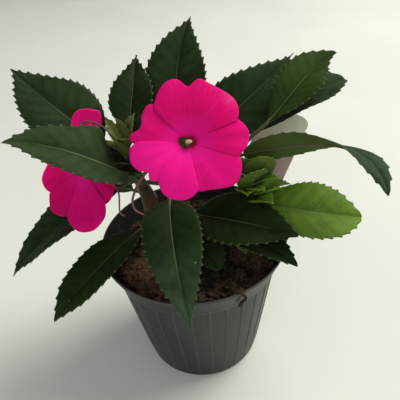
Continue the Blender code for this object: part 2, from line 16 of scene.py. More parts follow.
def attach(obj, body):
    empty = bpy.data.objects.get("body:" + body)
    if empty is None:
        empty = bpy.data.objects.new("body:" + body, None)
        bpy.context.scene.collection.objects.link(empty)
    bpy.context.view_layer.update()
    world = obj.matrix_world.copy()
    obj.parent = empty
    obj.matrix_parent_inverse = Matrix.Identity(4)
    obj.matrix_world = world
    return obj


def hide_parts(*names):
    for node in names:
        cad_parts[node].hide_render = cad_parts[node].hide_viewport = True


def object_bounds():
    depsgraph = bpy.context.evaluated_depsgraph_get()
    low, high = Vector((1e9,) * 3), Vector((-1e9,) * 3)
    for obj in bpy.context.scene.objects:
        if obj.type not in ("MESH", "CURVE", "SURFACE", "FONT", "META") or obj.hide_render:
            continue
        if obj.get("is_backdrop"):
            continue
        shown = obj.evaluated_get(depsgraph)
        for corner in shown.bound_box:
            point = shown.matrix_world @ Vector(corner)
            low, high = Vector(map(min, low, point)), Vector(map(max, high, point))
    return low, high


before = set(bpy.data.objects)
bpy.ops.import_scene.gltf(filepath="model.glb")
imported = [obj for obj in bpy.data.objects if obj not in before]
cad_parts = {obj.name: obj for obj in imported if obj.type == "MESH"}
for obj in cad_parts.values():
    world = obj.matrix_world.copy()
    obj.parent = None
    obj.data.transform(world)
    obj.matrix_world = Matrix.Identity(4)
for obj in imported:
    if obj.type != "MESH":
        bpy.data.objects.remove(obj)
cad_low, cad_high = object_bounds()
MM = 0.001
print("CAD nodes:", len(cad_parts))

# %% [markdown]
# ## Shader sums as plain Python
# A material is a small program drawn as nodes. Writing `a * b + c` is easier to read than three Math nodes
# and their links, so this class wraps a socket and turns each sum into the nodes that it needs. Any other
# node comes from `node`, which sets its options first and then its inputs.

# %% A socket that can be used in sums
class Wire:
    def __init__(self, tree, socket):
        self.tree, self.socket = tree, socket

    def node(self, kind, inputs=None, output=0, **options):
        made = self.tree.nodes.new("ShaderNode" + kind)
        for key, value in options.items():
            setattr(made, key, value)
        for key, value in (inputs or {}).items():
            if isinstance(value, Wire):
                self.tree.links.new(value.socket, made.inputs[key])
            else:
                made.inputs[key].default_value = value
        return Wire(self.tree, made.outputs[output])

    def sum(self, operation, *others):
        return self.node("Math", dict(enumerate((self,) + others)), operation=operation)

    def __add__(self, other): return self.sum("ADD", other)
    def __mul__(self, other): return self.sum("MULTIPLY", other)
    def __sub__(self, other): return self.sum("SUBTRACT", other)
    def __pow__(self, other): return self.sum("POWER", other)
    def __truediv__(self, other): return self.sum("DIVIDE", other)
    __radd__, __rmul__ = __add__, __mul__

    def fract(self): return self.sum("FRACT")
    def abs(self): return self.sum("ABSOLUTE")

    def step(self, low, high):
        """0 below low, 1 above high, smooth between; low above high turns it round."""
        flip = low > high
        ends = {1: min(low, high), 2: max(low, high), 3: 1.0 if flip else 0.0, 4: 0.0 if flip else 1.0}
        return self.node("MapRange", {0: self, **ends}, interpolation_type="SMOOTHSTEP")

    def mix(self, first, second):
        """first where this is 0, second where it is 1, both colours."""
        values = {0: self, 6: first, 7: second}
        values = {k: (*v, 1.0) if isinstance(v, tuple) else v for k, v in values.items()}
        return self.node("Mix", values, 2, data_type="RGBA")

    def noise(self, scale, detail=3.0, rough=0.55, stretch=None):
        """Cloudy noise from 0 to 1 on this position."""
        place = self
        if stretch:
            place = self.node("Mapping", {"Vector": self, "Scale": stretch})
        return self.node("TexNoise", {"Vector": place, "Scale": scale, "Detail": detail, "Roughness": rough})

    def split(self):
        parts = self.tree.nodes.new("ShaderNodeSeparateXYZ")
        self.tree.links.new(self.socket, parts.inputs[0])
        return [Wire(self.tree, parts.outputs[k]) for k in range(3)]


def coats(base, *layers):
    """Lays one colour after another over base, each where its own mask is high."""
    for mask, colour in layers:
        base = mask.mix(base, colour)
    return base


def cloudy(scale, detail, steps, first, second, rough=None, relief=0):
    """The paint of a small plain part: two colours in clouds, which may also roughen and raise it."""
    def paint(spot, uv):
        tone = spot.noise(scale, detail)
        base = tone.step(*steps).mix(first, second)
        return base, rough and rough + tone * 0.2, tone if relief else None, relief
    return paint


def finish(name, paint, **shader):
    """A Principled material; paint gets its tree and returns the colour, roughness and height that vary."""
    mat = bpy.data.materials.new(name)
    mat.use_nodes = True
    tree = mat.node_tree
    bsdf = tree.nodes["Principled BSDF"]
    for key, value in shader.items():
        bsdf.inputs[key.replace("_", " ")].default_value = value
    place = tree.nodes.new("ShaderNodeTexCoord")
    spot = Wire(tree, place.outputs["Object"])
    uv = Wire(tree, place.outputs["UV"])
    colour, rough, height, depth = paint(spot, uv)
    tree.links.new(colour.socket, bsdf.inputs["Base Color"])
    if rough is not None:
        tree.links.new(rough.socket, bsdf.inputs["Roughness"])
    if height is not None:
        bump = spot.node("Bump", {"Height": height, "Strength": 1.0, "Distance": depth * MM})
        tree.links.new(bump.socket, bsdf.inputs["Normal"])
    return mat


print("shader helper ready")

# %% [markdown]
# ## From a flat grid to a living surface
# A leaf, a petal, a stalk and a pot wall are all one sheet that has been bent. So each starts as a flat
# `create_grid`, and a rule says where the point at `u` along and `v` across goes. The grid keeps its even
# quads and its UV map, which later lets the veins follow the surface.

# %% Helpers for bent sheets
def bent_grid(along, across, rule, weld=True):
    """A bmesh grid whose points are put in place by rule(u, v), in millimetres."""
    bm = bmesh.new()
    bm.loops.layers.uv.new("UVMap")
    bmesh.ops.create_grid(bm, x_segments=along, y_segments=across, size=0.5, calc_uvs=True)
    flat = np.array([v.co[:2] for v in bm.verts]) + 0.5
    for vert, place in zip(bm.verts, np.asarray(rule(flat[:, 0], flat[:, 1])) * MM):
        vert.co = place
    if weld:
        bmesh.ops.remove_doubles(bm, verts=bm.verts, dist=2e-6)
        bmesh.ops.recalc_face_normals(bm, faces=bm.faces)
    return bm


def row_at(rows, u):
    """The columns of a table at shares u of its length."""
    return np.array(rows, float)[np.rint(u * (len(rows) - 1)).astype(int)].T


def new_object(name, bm, mats=()):
    mesh = bpy.data.meshes.new(name)
    bm.to_mesh(mesh)
    bm.free()
    for mat in mats:
        mesh.materials.append(mat)
    obj = bpy.data.objects.new(name, mesh)
    bpy.context.scene.collection.objects.link(obj)
    return obj


def blend_in(bm, other, material=None):
    """Adds the faces of other to bm, on the given material slot."""
    if material is not None:
        for face in other.faces:
            face.material_index = material
    spare = bpy.data.meshes.new("spare")
    other.to_mesh(spare)
    other.free()
    bm.from_mesh(spare)
    bpy.data.meshes.remove(spare)
    return bm


def thin_body(along, across, middle, half, under=1):
    """Two bent grids, face and underside, that meet at their rim; the underside takes slot `under`."""
    def shifted(sign):
        def rule(u, v):
            place, normal = middle(u, v)
            return place + normal * (sign * half(u, v))[:, None]
        return rule
    bm = bent_grid(along, across, shifted(1.0), weld=False)
    blend_in(bm, bent_grid(along, across, shifted(-1.0), weld=False), under)
    bmesh.ops.remove_doubles(bm, verts=bm.verts, dist=2e-6)
    bmesh.ops.recalc_face_normals(bm, faces=bm.faces)
    return bm


def piece(name, bm, mats, slot, nodes=(), sharp=None):
    """The finished object: smooth, at the origin, riding on the plant's one body."""
    for face in bm.faces:
        face.smooth = True
    obj = new_object(name, bm, mats)
    if sharp:
        obj.data.set_sharp_from_angle(angle=math.radians(sharp))
    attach(obj, "root")
    if nodes:
        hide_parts(*nodes)
    print("%-22s %6d faces" % (name, len(obj.data.polygons)))
    return obj


def unit(a):
    return a / np.maximum(np.linalg.norm(a, axis=-1, keepdims=True), 1e-9)


def catmull_rom(a, b, c, d, t):
    """The smooth curve from b to c, with a and d as its outer neighbours."""
    return 0.5 * (2 * b + (c - a) * t + (2 * a - 5 * b + 4 * c - d) * t * t
                  + (3 * b - a - 3 * c + d) * t ** 3)


def smooth_path(path, steps):
    """A smooth curve through rows of numbers."""
    rows = np.array([path[0]] + list(path) + [path[-1]], float)
    out = []
    for i in range(len(path) - 1):
        a, b, c, d = rows[i:i + 4]
        out += [catmull_rom(a, b, c, d, t) for t in np.arange(steps) / steps]
    return np.array(out + [rows[-1]])


def tube(path, around=12, wobble=None):
    """A round stalk along rows of x, y, z and radius, closed to a point at both ends."""
    centre, radius = path[:, :3], path[:, 3]
    ahead = unit(np.gradient(centre, axis=0))
    side = np.zeros_like(ahead)
    side[0] = unit(np.cross(ahead[0], (0.3, 0.9, 0.1)))
    for i in range(1, len(path)):
        side[i] = unit(side[i - 1] - ahead[i] * np.dot(side[i - 1], ahead[i]))
    other = np.cross(ahead, side)
    last = len(path) - 1

    def rule(u, v):
        k = np.rint(u * (last + 2)).astype(int) - 1
        r = np.where((k < 0) | (k > last), 0.0, 1.0)
        k = np.clip(k, 0, last)
        turn = v * 2 * np.pi
        r = r * radius[k] * (1.0 if wobble is None else wobble(k / last, v))
        return centre[k] + side[k] * (r * np.cos(turn))[:, None] + other[k] * (r * np.sin(turn))[:, None]
    return bent_grid(last + 2, around, rule)


print("sheet helpers ready")

# %% [markdown]
# ## The pot
# A grower's pot is one thin moulded shell: a foot ring, a tapered body with fine upright ribs, a step, a
# smooth collar and a plain lip. Spinning its section round the axis gives it all at once. The ribs are far
# narrower than the gaps between them, so the spin's angles bunch up at each rib instead of being even.

# %% Pot: section and ribs
RIM_R, POT_H, FOOT_R, SHOULDER_R, COLLAR_H, WALL = 60.0, 99.0, 41.0, 53.2, 15.0, 1.3
BASE, STEP_H, STEP_OUT = 4.0, 2.2, 1.8
RIBS, RIB_H, RIB_HALF = 30, 0.45, 0.62
SOIL_TOP, SOIL_BUMP = 87.5, 1.6
COLLAR = POT_H - COLLAR_H


def inner_radius(z):
    """Radius of the pot's inside at a height: tapered body, step, flared collar."""
    foot, shoulder, step_at = FOOT_R - WALL, SHOULDER_R - WALL, COLLAR - 1.2
    if z <= step_at:
        return foot + (shoulder - foot) * (z - BASE) / (step_at - BASE)
    if z <= step_at + STEP_H:
        return shoulder + (z - step_at) / STEP_H * STEP_OUT
    flare = (z - step_at - STEP_H) / (POT_H - 0.8 - step_at - STEP_H)
    return shoulder + STEP_OUT + flare * (RIM_R - 3.0 - shoulder)


def body_radius(z):
    return FOOT_R + 0.3 + (SHOULDER_R - FOOT_R - 0.3) * (z - 3.0) / (COLLAR - 4.4)


SECTION = [(0, 0), (7, 0), (12.6, 0), (13.2, 0.3), (14.0, 1.9), (14.6, 2.2), (20, 2.2), (28, 2.2),
           (34.0, 2.2), (34.8, 1.9), (35.3, 0.3), (36.0, 0), (39.2, 0), (40.3, 0.3), (40.9, 1.2)]
SECTION += [(body_radius(z), z) for z in (3.0, 8, 20, 32, 44, 56, 68, 78, 81.2)]
SECTION += [(SHOULDER_R, COLLAR - 1.4), (SHOULDER_R + 0.5, COLLAR - 1.2), (SHOULDER_R + 1.7, COLLAR - 0.1),
            (SHOULDER_R + 1.9, COLLAR + 0.6), (SHOULDER_R + 2.6, COLLAR + 3), (57.5, 91.5), (59.3, 96.2),
            (59.8, 97.4), (60.0, 98.0), (59.95, 98.6), (59.7, 98.95), (59.3, 99.0), (58.9, 98.9),
            (58.75, 98.5)]
SECTION += [(inner_radius(z), z) for z in (97.5, 94, 90, 86, 84.6, 83.0, 80, 60, 30, 5.2)]
SECTION += [(38.6, 4.2), (30, 4.0), (20, 4.0), (10, 4.0), (0, 4.0)]
RIB_ROWS = range(15, 24)


def pot_angles():
    """For each rib the flanks and crest, then a few plain steps to the next."""
    crest = ((-1, 0), (-0.6, 0.45), (-0.25, 0.95), (0, 1.0), (0.25, 0.95), (0.6, 0.45), (1, 0))
    gap, steps = 360.0 / RIBS - 2 * RIB_HALF, 5
    out = []
    for k in range(RIBS):
        at = 360.0 * k / RIBS
        out += [(at + d * RIB_HALF, w) for d, w in crest]
        out += [(at + RIB_HALF + gap * s / steps, 0) for s in range(1, steps)]
    return out + [(360.0 - RIB_HALF, 0)]


def pot_shape():
    turns, rows = pot_angles(), len(SECTION) - 1

    def rule(u, v):
        (deg, crest), (r, z), row = row_at(turns, u), row_at(SECTION, v), np.rint(v * rows)
        rib = np.where((row >= RIB_ROWS[0]) & (row <= RIB_ROWS[-1]), 1.0, 0.0)
        fade = np.clip((z - 4.0) / 6.0, 0, 1) * np.clip((COLLAR - 1.6 - z) / 2.0, 0, 1)
        r = r + RIB_H * crest * rib * fade
        return np.stack([r * np.cos(np.radians(deg)), r * np.sin(np.radians(deg)), z], -1)
    return bent_grid(len(turns) - 1, rows, rule)


print("pot section:", len(SECTION), "points,", len(pot_angles()), "angles")

# %% [markdown]
# The charcoal plastic is recycled: its grey is never quite even, the ribs and the ring under the collar
# are rubbed paler, dust and splashes of peat stay on the body, and crumbs of peat cling to the wall inside.
# The inside wall above the peat is painted near black as painted shade.
# All of it depends on the height and the angle, which the material works out from the object's own
# coordinates.

# %% Pot: plastic
def pot_paint(spot, uv):
    x, y, z = spot.split()
    angle = y.sum("ARCTAN2", x) / (2 * math.pi) * RIBS
    off_rib = (angle - angle.sum("ROUND")).abs()
    outside = (x * x + y * y).sum("SQRT")
    rib = off_rib.step(0.075, 0.02) * z.step(0.004, 0.012) * z.step(0.0826, 0.0815)
    cloud = spot.noise(28.0, 4.0)
    streaks = spot.noise(60.0, 3.0, stretch=(1.0, 1.0, 0.12))
    specks = spot.noise(420.0, 2.0).step(0.70, 0.76) * spot.noise(40.0, 2.0).step(0.45, 0.62)
    dust = spot.noise(55.0, 5.0, 0.65).step(0.56, 0.72) * z.step(0.05, 0.0)
    wall = (outside - (z - 0.0838) * 0.28).step(0.0555, 0.0548) * z.step(0.084, 0.0855)
    crumbs = spot.noise(520.0, 3.0).step(0.58, 0.68)
    rubbed = (0.090, 0.096, 0.086)
    base = coats(cloud.step(0.3, 0.75).mix((0.011, 0.013, 0.010), (0.021, 0.023, 0.019)),
                 (streaks.step(0.45, 0.8) * 0.35, (0.038, 0.041, 0.036)),
                 (rib * 0.35, (0.080, 0.086, 0.078)),
                 ((z - 0.0845).abs().step(0.0012, 0.0002) * 0.4, rubbed),
                 ((z - 0.0985).abs().step(0.0016, 0.0004) * 0.45, rubbed),
                 ((z - 0.0945).abs().step(0.004, 0.001) * 0.25, (0.016, 0.020, 0.015)),
                 (specks * 0.55, (0.035, 0.026, 0.02)),
                 (dust * 0.16, (0.20, 0.19, 0.16)),
                 # Painted shade: the inside wall above the peat is painted near black; the peat crumbs on it
                 # are real.
                 (wall * 0.8, (0.006, 0.006, 0.005)),
                 (wall * crumbs * 0.7, (0.070, 0.050, 0.034)))
    rough = 0.36 + cloud * 0.14 + dust * 0.2
    return base, rough, spot.noise(900.0, 3.0) * 0.25 + streaks * 0.3, 0.05


POT = finish("pot_plastic_fine", pot_paint, Roughness=0.5, Specular_IOR_Level=0.38)


DRAINS, DRAIN_RING, DRAIN_R = 6, 24.0, 3.2


def drain_cutters():
    """One short rod for each drain hole in the base."""
    bm = bmesh.new()
    for k in range(DRAINS):
        a = 2 * math.pi * (k + 0.5) / DRAINS
        at = Vector((DRAIN_RING * math.cos(a), DRAIN_RING * math.sin(a), 2.0)) * MM
        bmesh.ops.create_cone(bm, cap_ends=True, segments=28, radius1=DRAIN_R * MM, radius2=DRAIN_R * MM,
                              depth=10 * MM, matrix=Matrix.Translation(at))
    return new_object("drain_cutters", bm)


def apply_cut(obj, cutter):
    """Cuts the cutter's shape out of obj for good, then drops the cutter."""
    cut = obj.modifiers.new("drains", "BOOLEAN")
    cut.operation, cut.object, cut.solver = "DIFFERENCE", cutter, "EXACT"
    bpy.context.view_layer.update()
    done = bpy.data.meshes.new_from_object(obj.evaluated_get(bpy.context.evaluated_depsgraph_get()))
    obj.modifiers.clear()
    obj.data = done
    bpy.data.objects.remove(cutter, do_unlink=True)


pot = piece("pot_shell", pot_shape(), [POT], "pot_plastic", ["pot"], sharp=40)
apply_cut(pot, drain_cutters())

# %% [markdown]
# ## The peat
# Peat fills the pot nearly to the collar. Its top is never flat: it is heaped a little round the stems,
# lumpy at the scale of a fingertip and crumbly at the scale of a grain. The heap and lumps are in the
# sheet itself, the crumbs and root fibres are small separate shapes scattered over it from a fixed seed.

# %% Peat: surface
def soil_height(x, y):
    r = math.hypot(x, y)
    bump = noise.noise(Vector((x * 0.085, y * 0.085, 3.0)))
    bump += 0.6 * noise.noise(Vector((x * 0.21, y * 0.21, 8.0)))
    return SOIL_TOP + SOIL_BUMP * bump + 1.0 - 1.8 * (r / 54.0) ** 2


def crumbly(x, y):
    """Small lumps on top of the heaps."""
    lump = noise.noise(Vector((x * 0.55, y * 0.55, 1.0)))
    grain = noise.noise(Vector((x * 1.5, y * 1.5, 5.0)))
    return soil_height(x, y) + 1.3 * abs(lump) + 0.6 * grain - 0.35


PEAT_R = 53.2
SOIL_SIDE = [(0, 4.4), (38.4, 4.4), (51.4, 82.8), (PEAT_R, 85.2), (53.6, 86.2)]


def soil_shape():
    rows = 52

    def rule(u, v):
        out = []
        for a, f in zip(u * 2 * math.pi, v * (rows + len(SOIL_SIDE) - 1)):
            k = int(round(f))
            if k < len(SOIL_SIDE):
                r, z = SOIL_SIDE[k]
                out.append((r * math.cos(a), r * math.sin(a), z))
                continue
            r = PEAT_R * (1 - (k - len(SOIL_SIDE) + 1) / rows)
            x, y = r * math.cos(a), r * math.sin(a)
            out.append((x, y, crumbly(x, y) if r > 0.01 else crumbly(0, 0)))
        return out
    return bent_grid(220, rows + len(SOIL_SIDE) - 1, rule)


def scatter_lumps(bm, count, spread, size, seed):
    """Crumbs: small rough icospheres pressed into the surface."""
    rnd = random.Random(seed)
    for _ in range(count):
        a, r = rnd.uniform(0, 2 * math.pi), spread * math.sqrt(rnd.random())
        x, y = r * math.cos(a), r * math.sin(a)
        s = size * (0.35 + 1.2 * rnd.random() ** 3)
        turn = Matrix.Rotation(rnd.uniform(0, 6.28), 4, Vector((rnd.random(), rnd.random(), 1)).normalized())
        shape = Matrix.Diagonal((s * rnd.uniform(0.7, 1.5) * MM, s * MM, s * 0.7 * MM, 1))
        at = Matrix.Translation(Vector((x, y, crumbly(x, y) + s * 0.25)) * MM)
        made = bmesh.ops.create_icosphere(bm, subdivisions=1, radius=1.0, matrix=at @ turn @ shape)
        for v in made["verts"]:
            v.co += Vector([rnd.uniform(-0.16, 0.16) * s * MM for _ in range(3)])
    return bm


soil_mesh = scatter_lumps(soil_shape(), count=900, spread=51.5, size=1.6, seed=11)
print("peat faces:", len(soil_mesh.faces))

# %% [markdown]
# Wet peat is almost black with a brown cast. Here and there lie paler fibres of half-rotten moss and
# bark, and one reddish patch shows at the left of the pot. Fibres are thin bent tubes in their own colour.

# %% Peat: finish and fibres
def peat_paint(spot, uv):
    big, mid, small = spot.noise(22.0, 3.0), spot.noise(150.0, 5.0, 0.65), spot.noise(800.0, 4.0, 0.7)
    x, y, _ = spot.split()
    patch = ((x + 0.036) * (x + 0.036) + (y + 0.018) * (y + 0.018)).sum("SQRT").step(0.017, 0.003)
    base = coats(mid.step(0.35, 0.7).mix((0.010, 0.008, 0.0055), (0.070, 0.048, 0.030)),
                 (big.step(0.5, 0.7) * 0.4, (0.095, 0.058, 0.032)),
                 (patch * small.step(0.35, 0.62) * 0.8, (0.22, 0.110, 0.050)),
                 (small.step(0.63, 0.72) * 0.5, (0.10, 0.070, 0.045)))
    return base, 0.8 + mid * 0.2, small * 0.6 + mid * 0.6, 0.5


PEAT = finish("peat_fine", peat_paint, Roughness=0.9, Specular_IOR_Level=0.12)
FIBRE = finish("peat_fibre", cloudy(60.0, 2.0, (0.35, 0.65), (0.090, 0.045, 0.024), (0.230, 0.135, 0.070)),
               Roughness=0.8, Specular_IOR_Level=0.3)
piece("peat_fill", soil_mesh, [PEAT], "peat", ["soil"])


def fibres(count, centre, spread, seed):
    """Short bent root fibres lying on the peat."""
    rnd = random.Random(seed)
    bm = bmesh.new()
    bm.loops.layers.uv.new("UVMap")
    for _ in range(count):
        x = centre[0] + rnd.gauss(0, spread)
        y = centre[1] + rnd.gauss(0, spread)
        if math.hypot(x, y) > 50:
            continue
        way, path = rnd.uniform(0, 6.28), []
        for k in range(5):
            arch = 0.5 * rnd.random() * (0 < k < 4)
            path.append((x, y, crumbly(x, y) + 0.25 + arch, 0.07 + 0.09 * rnd.random()))
            way += rnd.uniform(-0.7, 0.7)
            x, y = x + 1.5 * math.cos(way), y + 1.5 * math.sin(way)
        blend_in(bm, tube(smooth_path(path, 2), 5))
    return bm


moss = fibres(130, (-36, -18), spread=7, seed=3)
for count, centre, spread in ((14, (0, -40), 5), (12, (20, -40), 5), (16, (40, -22), 5), (40, (0, 0), 22)):
    blend_in(moss, fibres(count, centre, spread, seed=count))
piece("peat_fibres", moss, [FIBRE], "peat")

# %% [markdown]
# ## The stems
# Three fleshy stems rise from the peat. They are coppery brown below and green above, a little swollen
# where a leaf joins, with fine lengthwise lines. From about 118 mm up, among the leaves and under the
# flower, they are a dark olive that is partly their own green and partly painted shade. A smooth curve
# through a few points carries a ring of points along it, which is how one would draw a stalk with a round
# brush.

# %% Stems
STEMS = {
    "stem_left": [(-24, 16, 58, 4.3), (-24, 16, 91, 4.3), (-25, 14, 100, 4.4), (-26, 11, 110, 4.9),
                  (-26, 10, 122, 5.0), (-29, 7, 136, 3.6), (-31, 5, 148, 3.0), (-33, 3, 163, 2.2),
                  (-33, 3, 168, 1.4)],
    "stem_middle": [(-6, 19, 60, 3.6), (-6, 19, 91, 3.6), (-7, 18, 100, 3.4), (-8, 16, 120, 3.2),
                    (-4, 18, 143, 2.8), (0, 20, 160, 2.0), (0, 20, 167, 1.2)],
    "stem_right": [(25, 17, 62, 3.3), (25, 17, 91, 3.3), (29, 15, 99, 3.0), (34, 12, 110, 2.9),
                   (36, 9, 122, 2.5), (33, 8, 138, 2.1), (31, 8, 150, 1.7), (33, 10, 158, 1.2)],
}


def stem_line(name):
    raw = STEMS[name]
    return np.vstack([np.array(raw[:1], float), smooth_path(raw[1:], 9)])


def stem_paint(spot, uv):
    lines = spot.noise(260.0, 3.0, stretch=(1.0, 1.0, 0.10))
    cloud = spot.noise(45.0, 3.0)
    x, _, z = spot.split()
    base = coats(cloud.step(0.3, 0.7).mix((0.10, 0.036, 0.018), (0.21, 0.090, 0.045)),
                 (lines.step(0.45, 0.72) * 0.5, (0.075, 0.030, 0.017)),
                 # From about 118 mm up the stem turns dark olive: partly its own green, partly painted shade
                 # under the leaves and flower.
                 (z.step(0.118, 0.135), (0.030, 0.036, 0.012)),
                 (z.step(0.145, 0.165) * 0.8, (0.085, 0.120, 0.026)),
                 (x.step(0.015, 0.03) * z.step(0.095, 0.115), (0.060, 0.110, 0.016)),
                 (spot.noise(190.0, 2.0).step(0.66, 0.72) * 0.5, (0.34, 0.22, 0.14)))
    return base, 0.38 + cloud * 0.2, lines, 0.25


STEM = finish("stem_skin", stem_paint, Roughness=0.45, Subsurface_Weight=0.08, Subsurface_Scale=0.002)
for name in STEMS:
    line = stem_line(name)

    def ridged(f, v, seed=len(name)):
        knots = 1.0 + 0.05 * np.sin(f * 40.0 + seed) ** 8
        return knots * (1.0 + 0.035 * np.sin(v * 2 * np.pi * 5 + f * 9.0))
    piece(name + "_skin", tube(line, 26, ridged), [STEM], "stem", [name])

# %% [markdown]
# ## The leaves
# Every leaf is one row of a table: where it leaves its stem, where its tip is, how wide it is and how it
# bends. The row gives a middle line, and the blade is a thin body laid across that line. The details that
# make it read as this plant are rules on the same surface: forward-pointing teeth at the edge, a groove
# along the midrib, and the blade puffed up a little between its arching side veins.

# %% Leaves: the table
def leaf_row(stem, root, tip, wide, lift=(8, 8), bow=(0, 0), roll=(0, 0), fold=12, stalk=0.12,
             peak=0.42, base=1.0, reach=(0.33, 0.67), tone="dark", teeth=15, veins=8, nip=0.0, full=0.0):
    """One leaf. lift, bow, roll and fold bend it, stalk is its bare share, peak and base shape its width."""
    return dict(locals())


LEAVES = {
    "leaf_left_back": leaf_row("stem_left", (-32, 4, 158), (-103, 52, 199), 45, (-6, -4), (-2, -2),
        (14, 14), stalk=0.2, peak=0.4, teeth=17),
    "leaf_left_front": leaf_row("stem_left", (-33, 2, 146), (-89, -23, 187), 35, (8, 11), (-20, -4),
        (25, 22), stalk=0.04, peak=0.35, base=0.55, tone="painted_sheen", full=0.25),
    "leaf_back_small": leaf_row("stem_left", (-33, 4, 167), (-25, 52, 201), 27, (2, 4), (2, 1), peak=0.36,
        teeth=12, tone="deep"),
    "leaf_back_left": leaf_row("stem_left", (-31, 8, 150), (10, 84, 212), 27, (-3, -3), (-4, 5),
        (-24, -14)),
    "leaf_back_middle": leaf_row("stem_middle", (-2, 22, 163), (10, 63, 218), 37, (3, 6), (-7, -5),
        (-8, -8), peak=0.38, teeth=14),
    "leaf_back_right": leaf_row("stem_middle", (1, 21, 147), (72.9, 55.6, 192.7), 40, (3, 3), (6, 8),
        (-36, -33), peak=0.36),
    "leaf_right_upper": leaf_row("stem_right", (34, 9, 156), (91.9, 31.6, 198.5), 30, (5, 3), (13, -7),
        (-10, -10), stalk=0.24, peak=0.6, base=1.15, tone="green", nip=0.5),
    "leaf_right_back": leaf_row("stem_right", (32, 10, 152), (100, 33, 181), 42, (4, 4), (-7, -8),
        stalk=0.2, peak=0.66, teeth=13, tone="painted_sheen"),
    "leaf_right_long": leaf_row("stem_right", (31, 8, 149), (99.6, -45.4, 150.6), 24, (7, 20), (-20, -29),
        (94, -15), fold=4, stalk=0.03, peak=0.42, base=0.6, reach=(0.32, 0.78), tone="front"),
    "leaf_right_low": leaf_row("stem_right", (36, 7, 120), (102, -17, 114), 38, (1, 3), (9, 9), (-25, -25),
        stalk=0.1, peak=0.54, base=0.9, tone="light", teeth=14, veins=6),
    "leaf_front_right": leaf_row("stem_middle", (-6, 12, 107), (60, -32, 117), 38, (5, 6), (4, 4),
        (-20, -20), base=0.8, tone="deep"),
    "leaf_rim_right": leaf_row("stem_middle", (-2, 15, 102), (60, -36, 97), 28, (6, 9), peak=0.5,
        tone="deep"),
    "leaf_front": leaf_row("stem_middle", (-12, 6, 133), (-5, -68, 91), 35, (8, 12), (4, 4), peak=0.33,
        base=0.62, teeth=18, tone="front"),
    "leaf_front_left": leaf_row("stem_left", (-27, 11, 104), (-84, -52, 85), 30, (7, 9), (-1, -1), peak=0.5,
        tone="deep"),
    "leaf_left_low": leaf_row("stem_left", (-31, 6, 140), (-111, -26, 99), 38, (8, 10), (3, 3)),
    "leaf_left_inner": leaf_row("stem_left", (-29, 8, 128), (-82, 30, 123), 26, (6, 6), teeth=12),
    "leaf_under_front": leaf_row("stem_middle", (-5, 13, 97), (14, -31, 94), 22, (1, 2), peak=0.6, teeth=11,
        tone="painted_sheen"),
    "leaf_under_right": leaf_row("stem_right", (27, 14, 95), (31, -22.5, 98), 13, (0, 1), peak=0.5,
        tone="light", teeth=9, veins=6),
    "shoot_right_1": leaf_row("stem_right", (37.5, 5, 124), (48, -6, 155), 20, (1, 3), roll=(40, 40),
        stalk=0.16, peak=0.5, base=0.8, tone="young", teeth=9, veins=5),
    "shoot_right_2": leaf_row("stem_right", (39, 8, 120), (57, 10, 131), 14, (1, 2), stalk=0.16,
        tone="young", teeth=6, veins=5),
    "shoot_left_1": leaf_row("stem_left", (-35, 4, 161), (-45, 19, 177), 8, (1, 2), stalk=0.1, tone="olive",
        teeth=6, veins=5),
    "shoot_left_2": leaf_row("stem_left", (-33.5, 0.5, 157), (-37, -8, 175), 8, (1, 2), stalk=0.1,
        tone="olive", teeth=6, veins=5),
}
print(len(LEAVES), "leaves")

# %% [markdown]
# The middle line is a cubic curve: root, tip, and two points between them that lift and bow it. Its own
# direction, together with the world's up, gives a cross direction at every point, so the blade twists only
# where the row's roll says so.

# %% Leaves: middle line and frame
def leaf_line(leaf):
    root, tip = np.array(leaf["root"], float), np.array(leaf["tip"], float)
    chord = tip - root
    side = unit(np.cross(chord, (0, 0, 1.0)))
    up = unit(np.cross(side, chord))
    (f1, f2), (l1, l2), (b1, b2) = leaf["reach"], leaf["lift"], leaf["bow"]
    p = [root, root + chord * f1 + up * l1 + side * b1, root + chord * f2 + up * l2 + side * b2, tip]

    def at(u):
        u = np.asarray(u)[:, None]
        v = 1 - u
        return p[0] * v ** 3 + p[1] * 3 * u * v * v + p[2] * 3 * u * u * v + p[3] * u ** 3

    def along(u):
        u = np.asarray(u)[:, None]
        v = 1 - u
        return unit((p[1] - p[0]) * v * v + (p[2] - p[1]) * 2 * u * v + (p[3] - p[2]) * u * u)
    return at, along


def leaf_axes(leaf, t, s):
    side = unit(np.cross(t, (0, 0, 1.0)))
    up = np.cross(side, t)
    r = np.radians(leaf["roll"][0] + (leaf["roll"][1] - leaf["roll"][0]) * s)[:, None]
    return side * np.cos(r) + up * np.sin(r), up * np.cos(r) - side * np.sin(r)


def leaf_half_width(leaf, s):
    pk, b = leaf["peak"], leaf["base"]
    q = b * (1 - pk) / pk
    s = np.clip(s, 0, 1)
    return leaf["wide"] / 2 * ((s ** b * (1 - s) ** q) / (pk ** b * (1 - pk) ** q)) ** 0.85


# %% [markdown]
# One rule then makes the blade. `x` runs from -1 at the left edge through 0 at the midrib to 1 at the
# right edge. Only the last part near the edge moves with the teeth, so they stay crisp and the blade's
# inside stays calm.

# %% Leaves: blade, rib and stalk
TOOTH, TOOTH_BACK, TOOTH_PUSH = 1.3, 0.35, 0.9
ARCH, PUFF, GROOVE, WAVE = 0.22, 0.13, 0.45, 0.5


def vein_phase(veins, s, x):
    """Whole numbers fall on the side veins. x is the distance from the midrib, in numbers or as a Wire."""
    return (s * 1.12 - x ** 0.8 * 0.16 - x * x * 0.06) * veins + 0.3


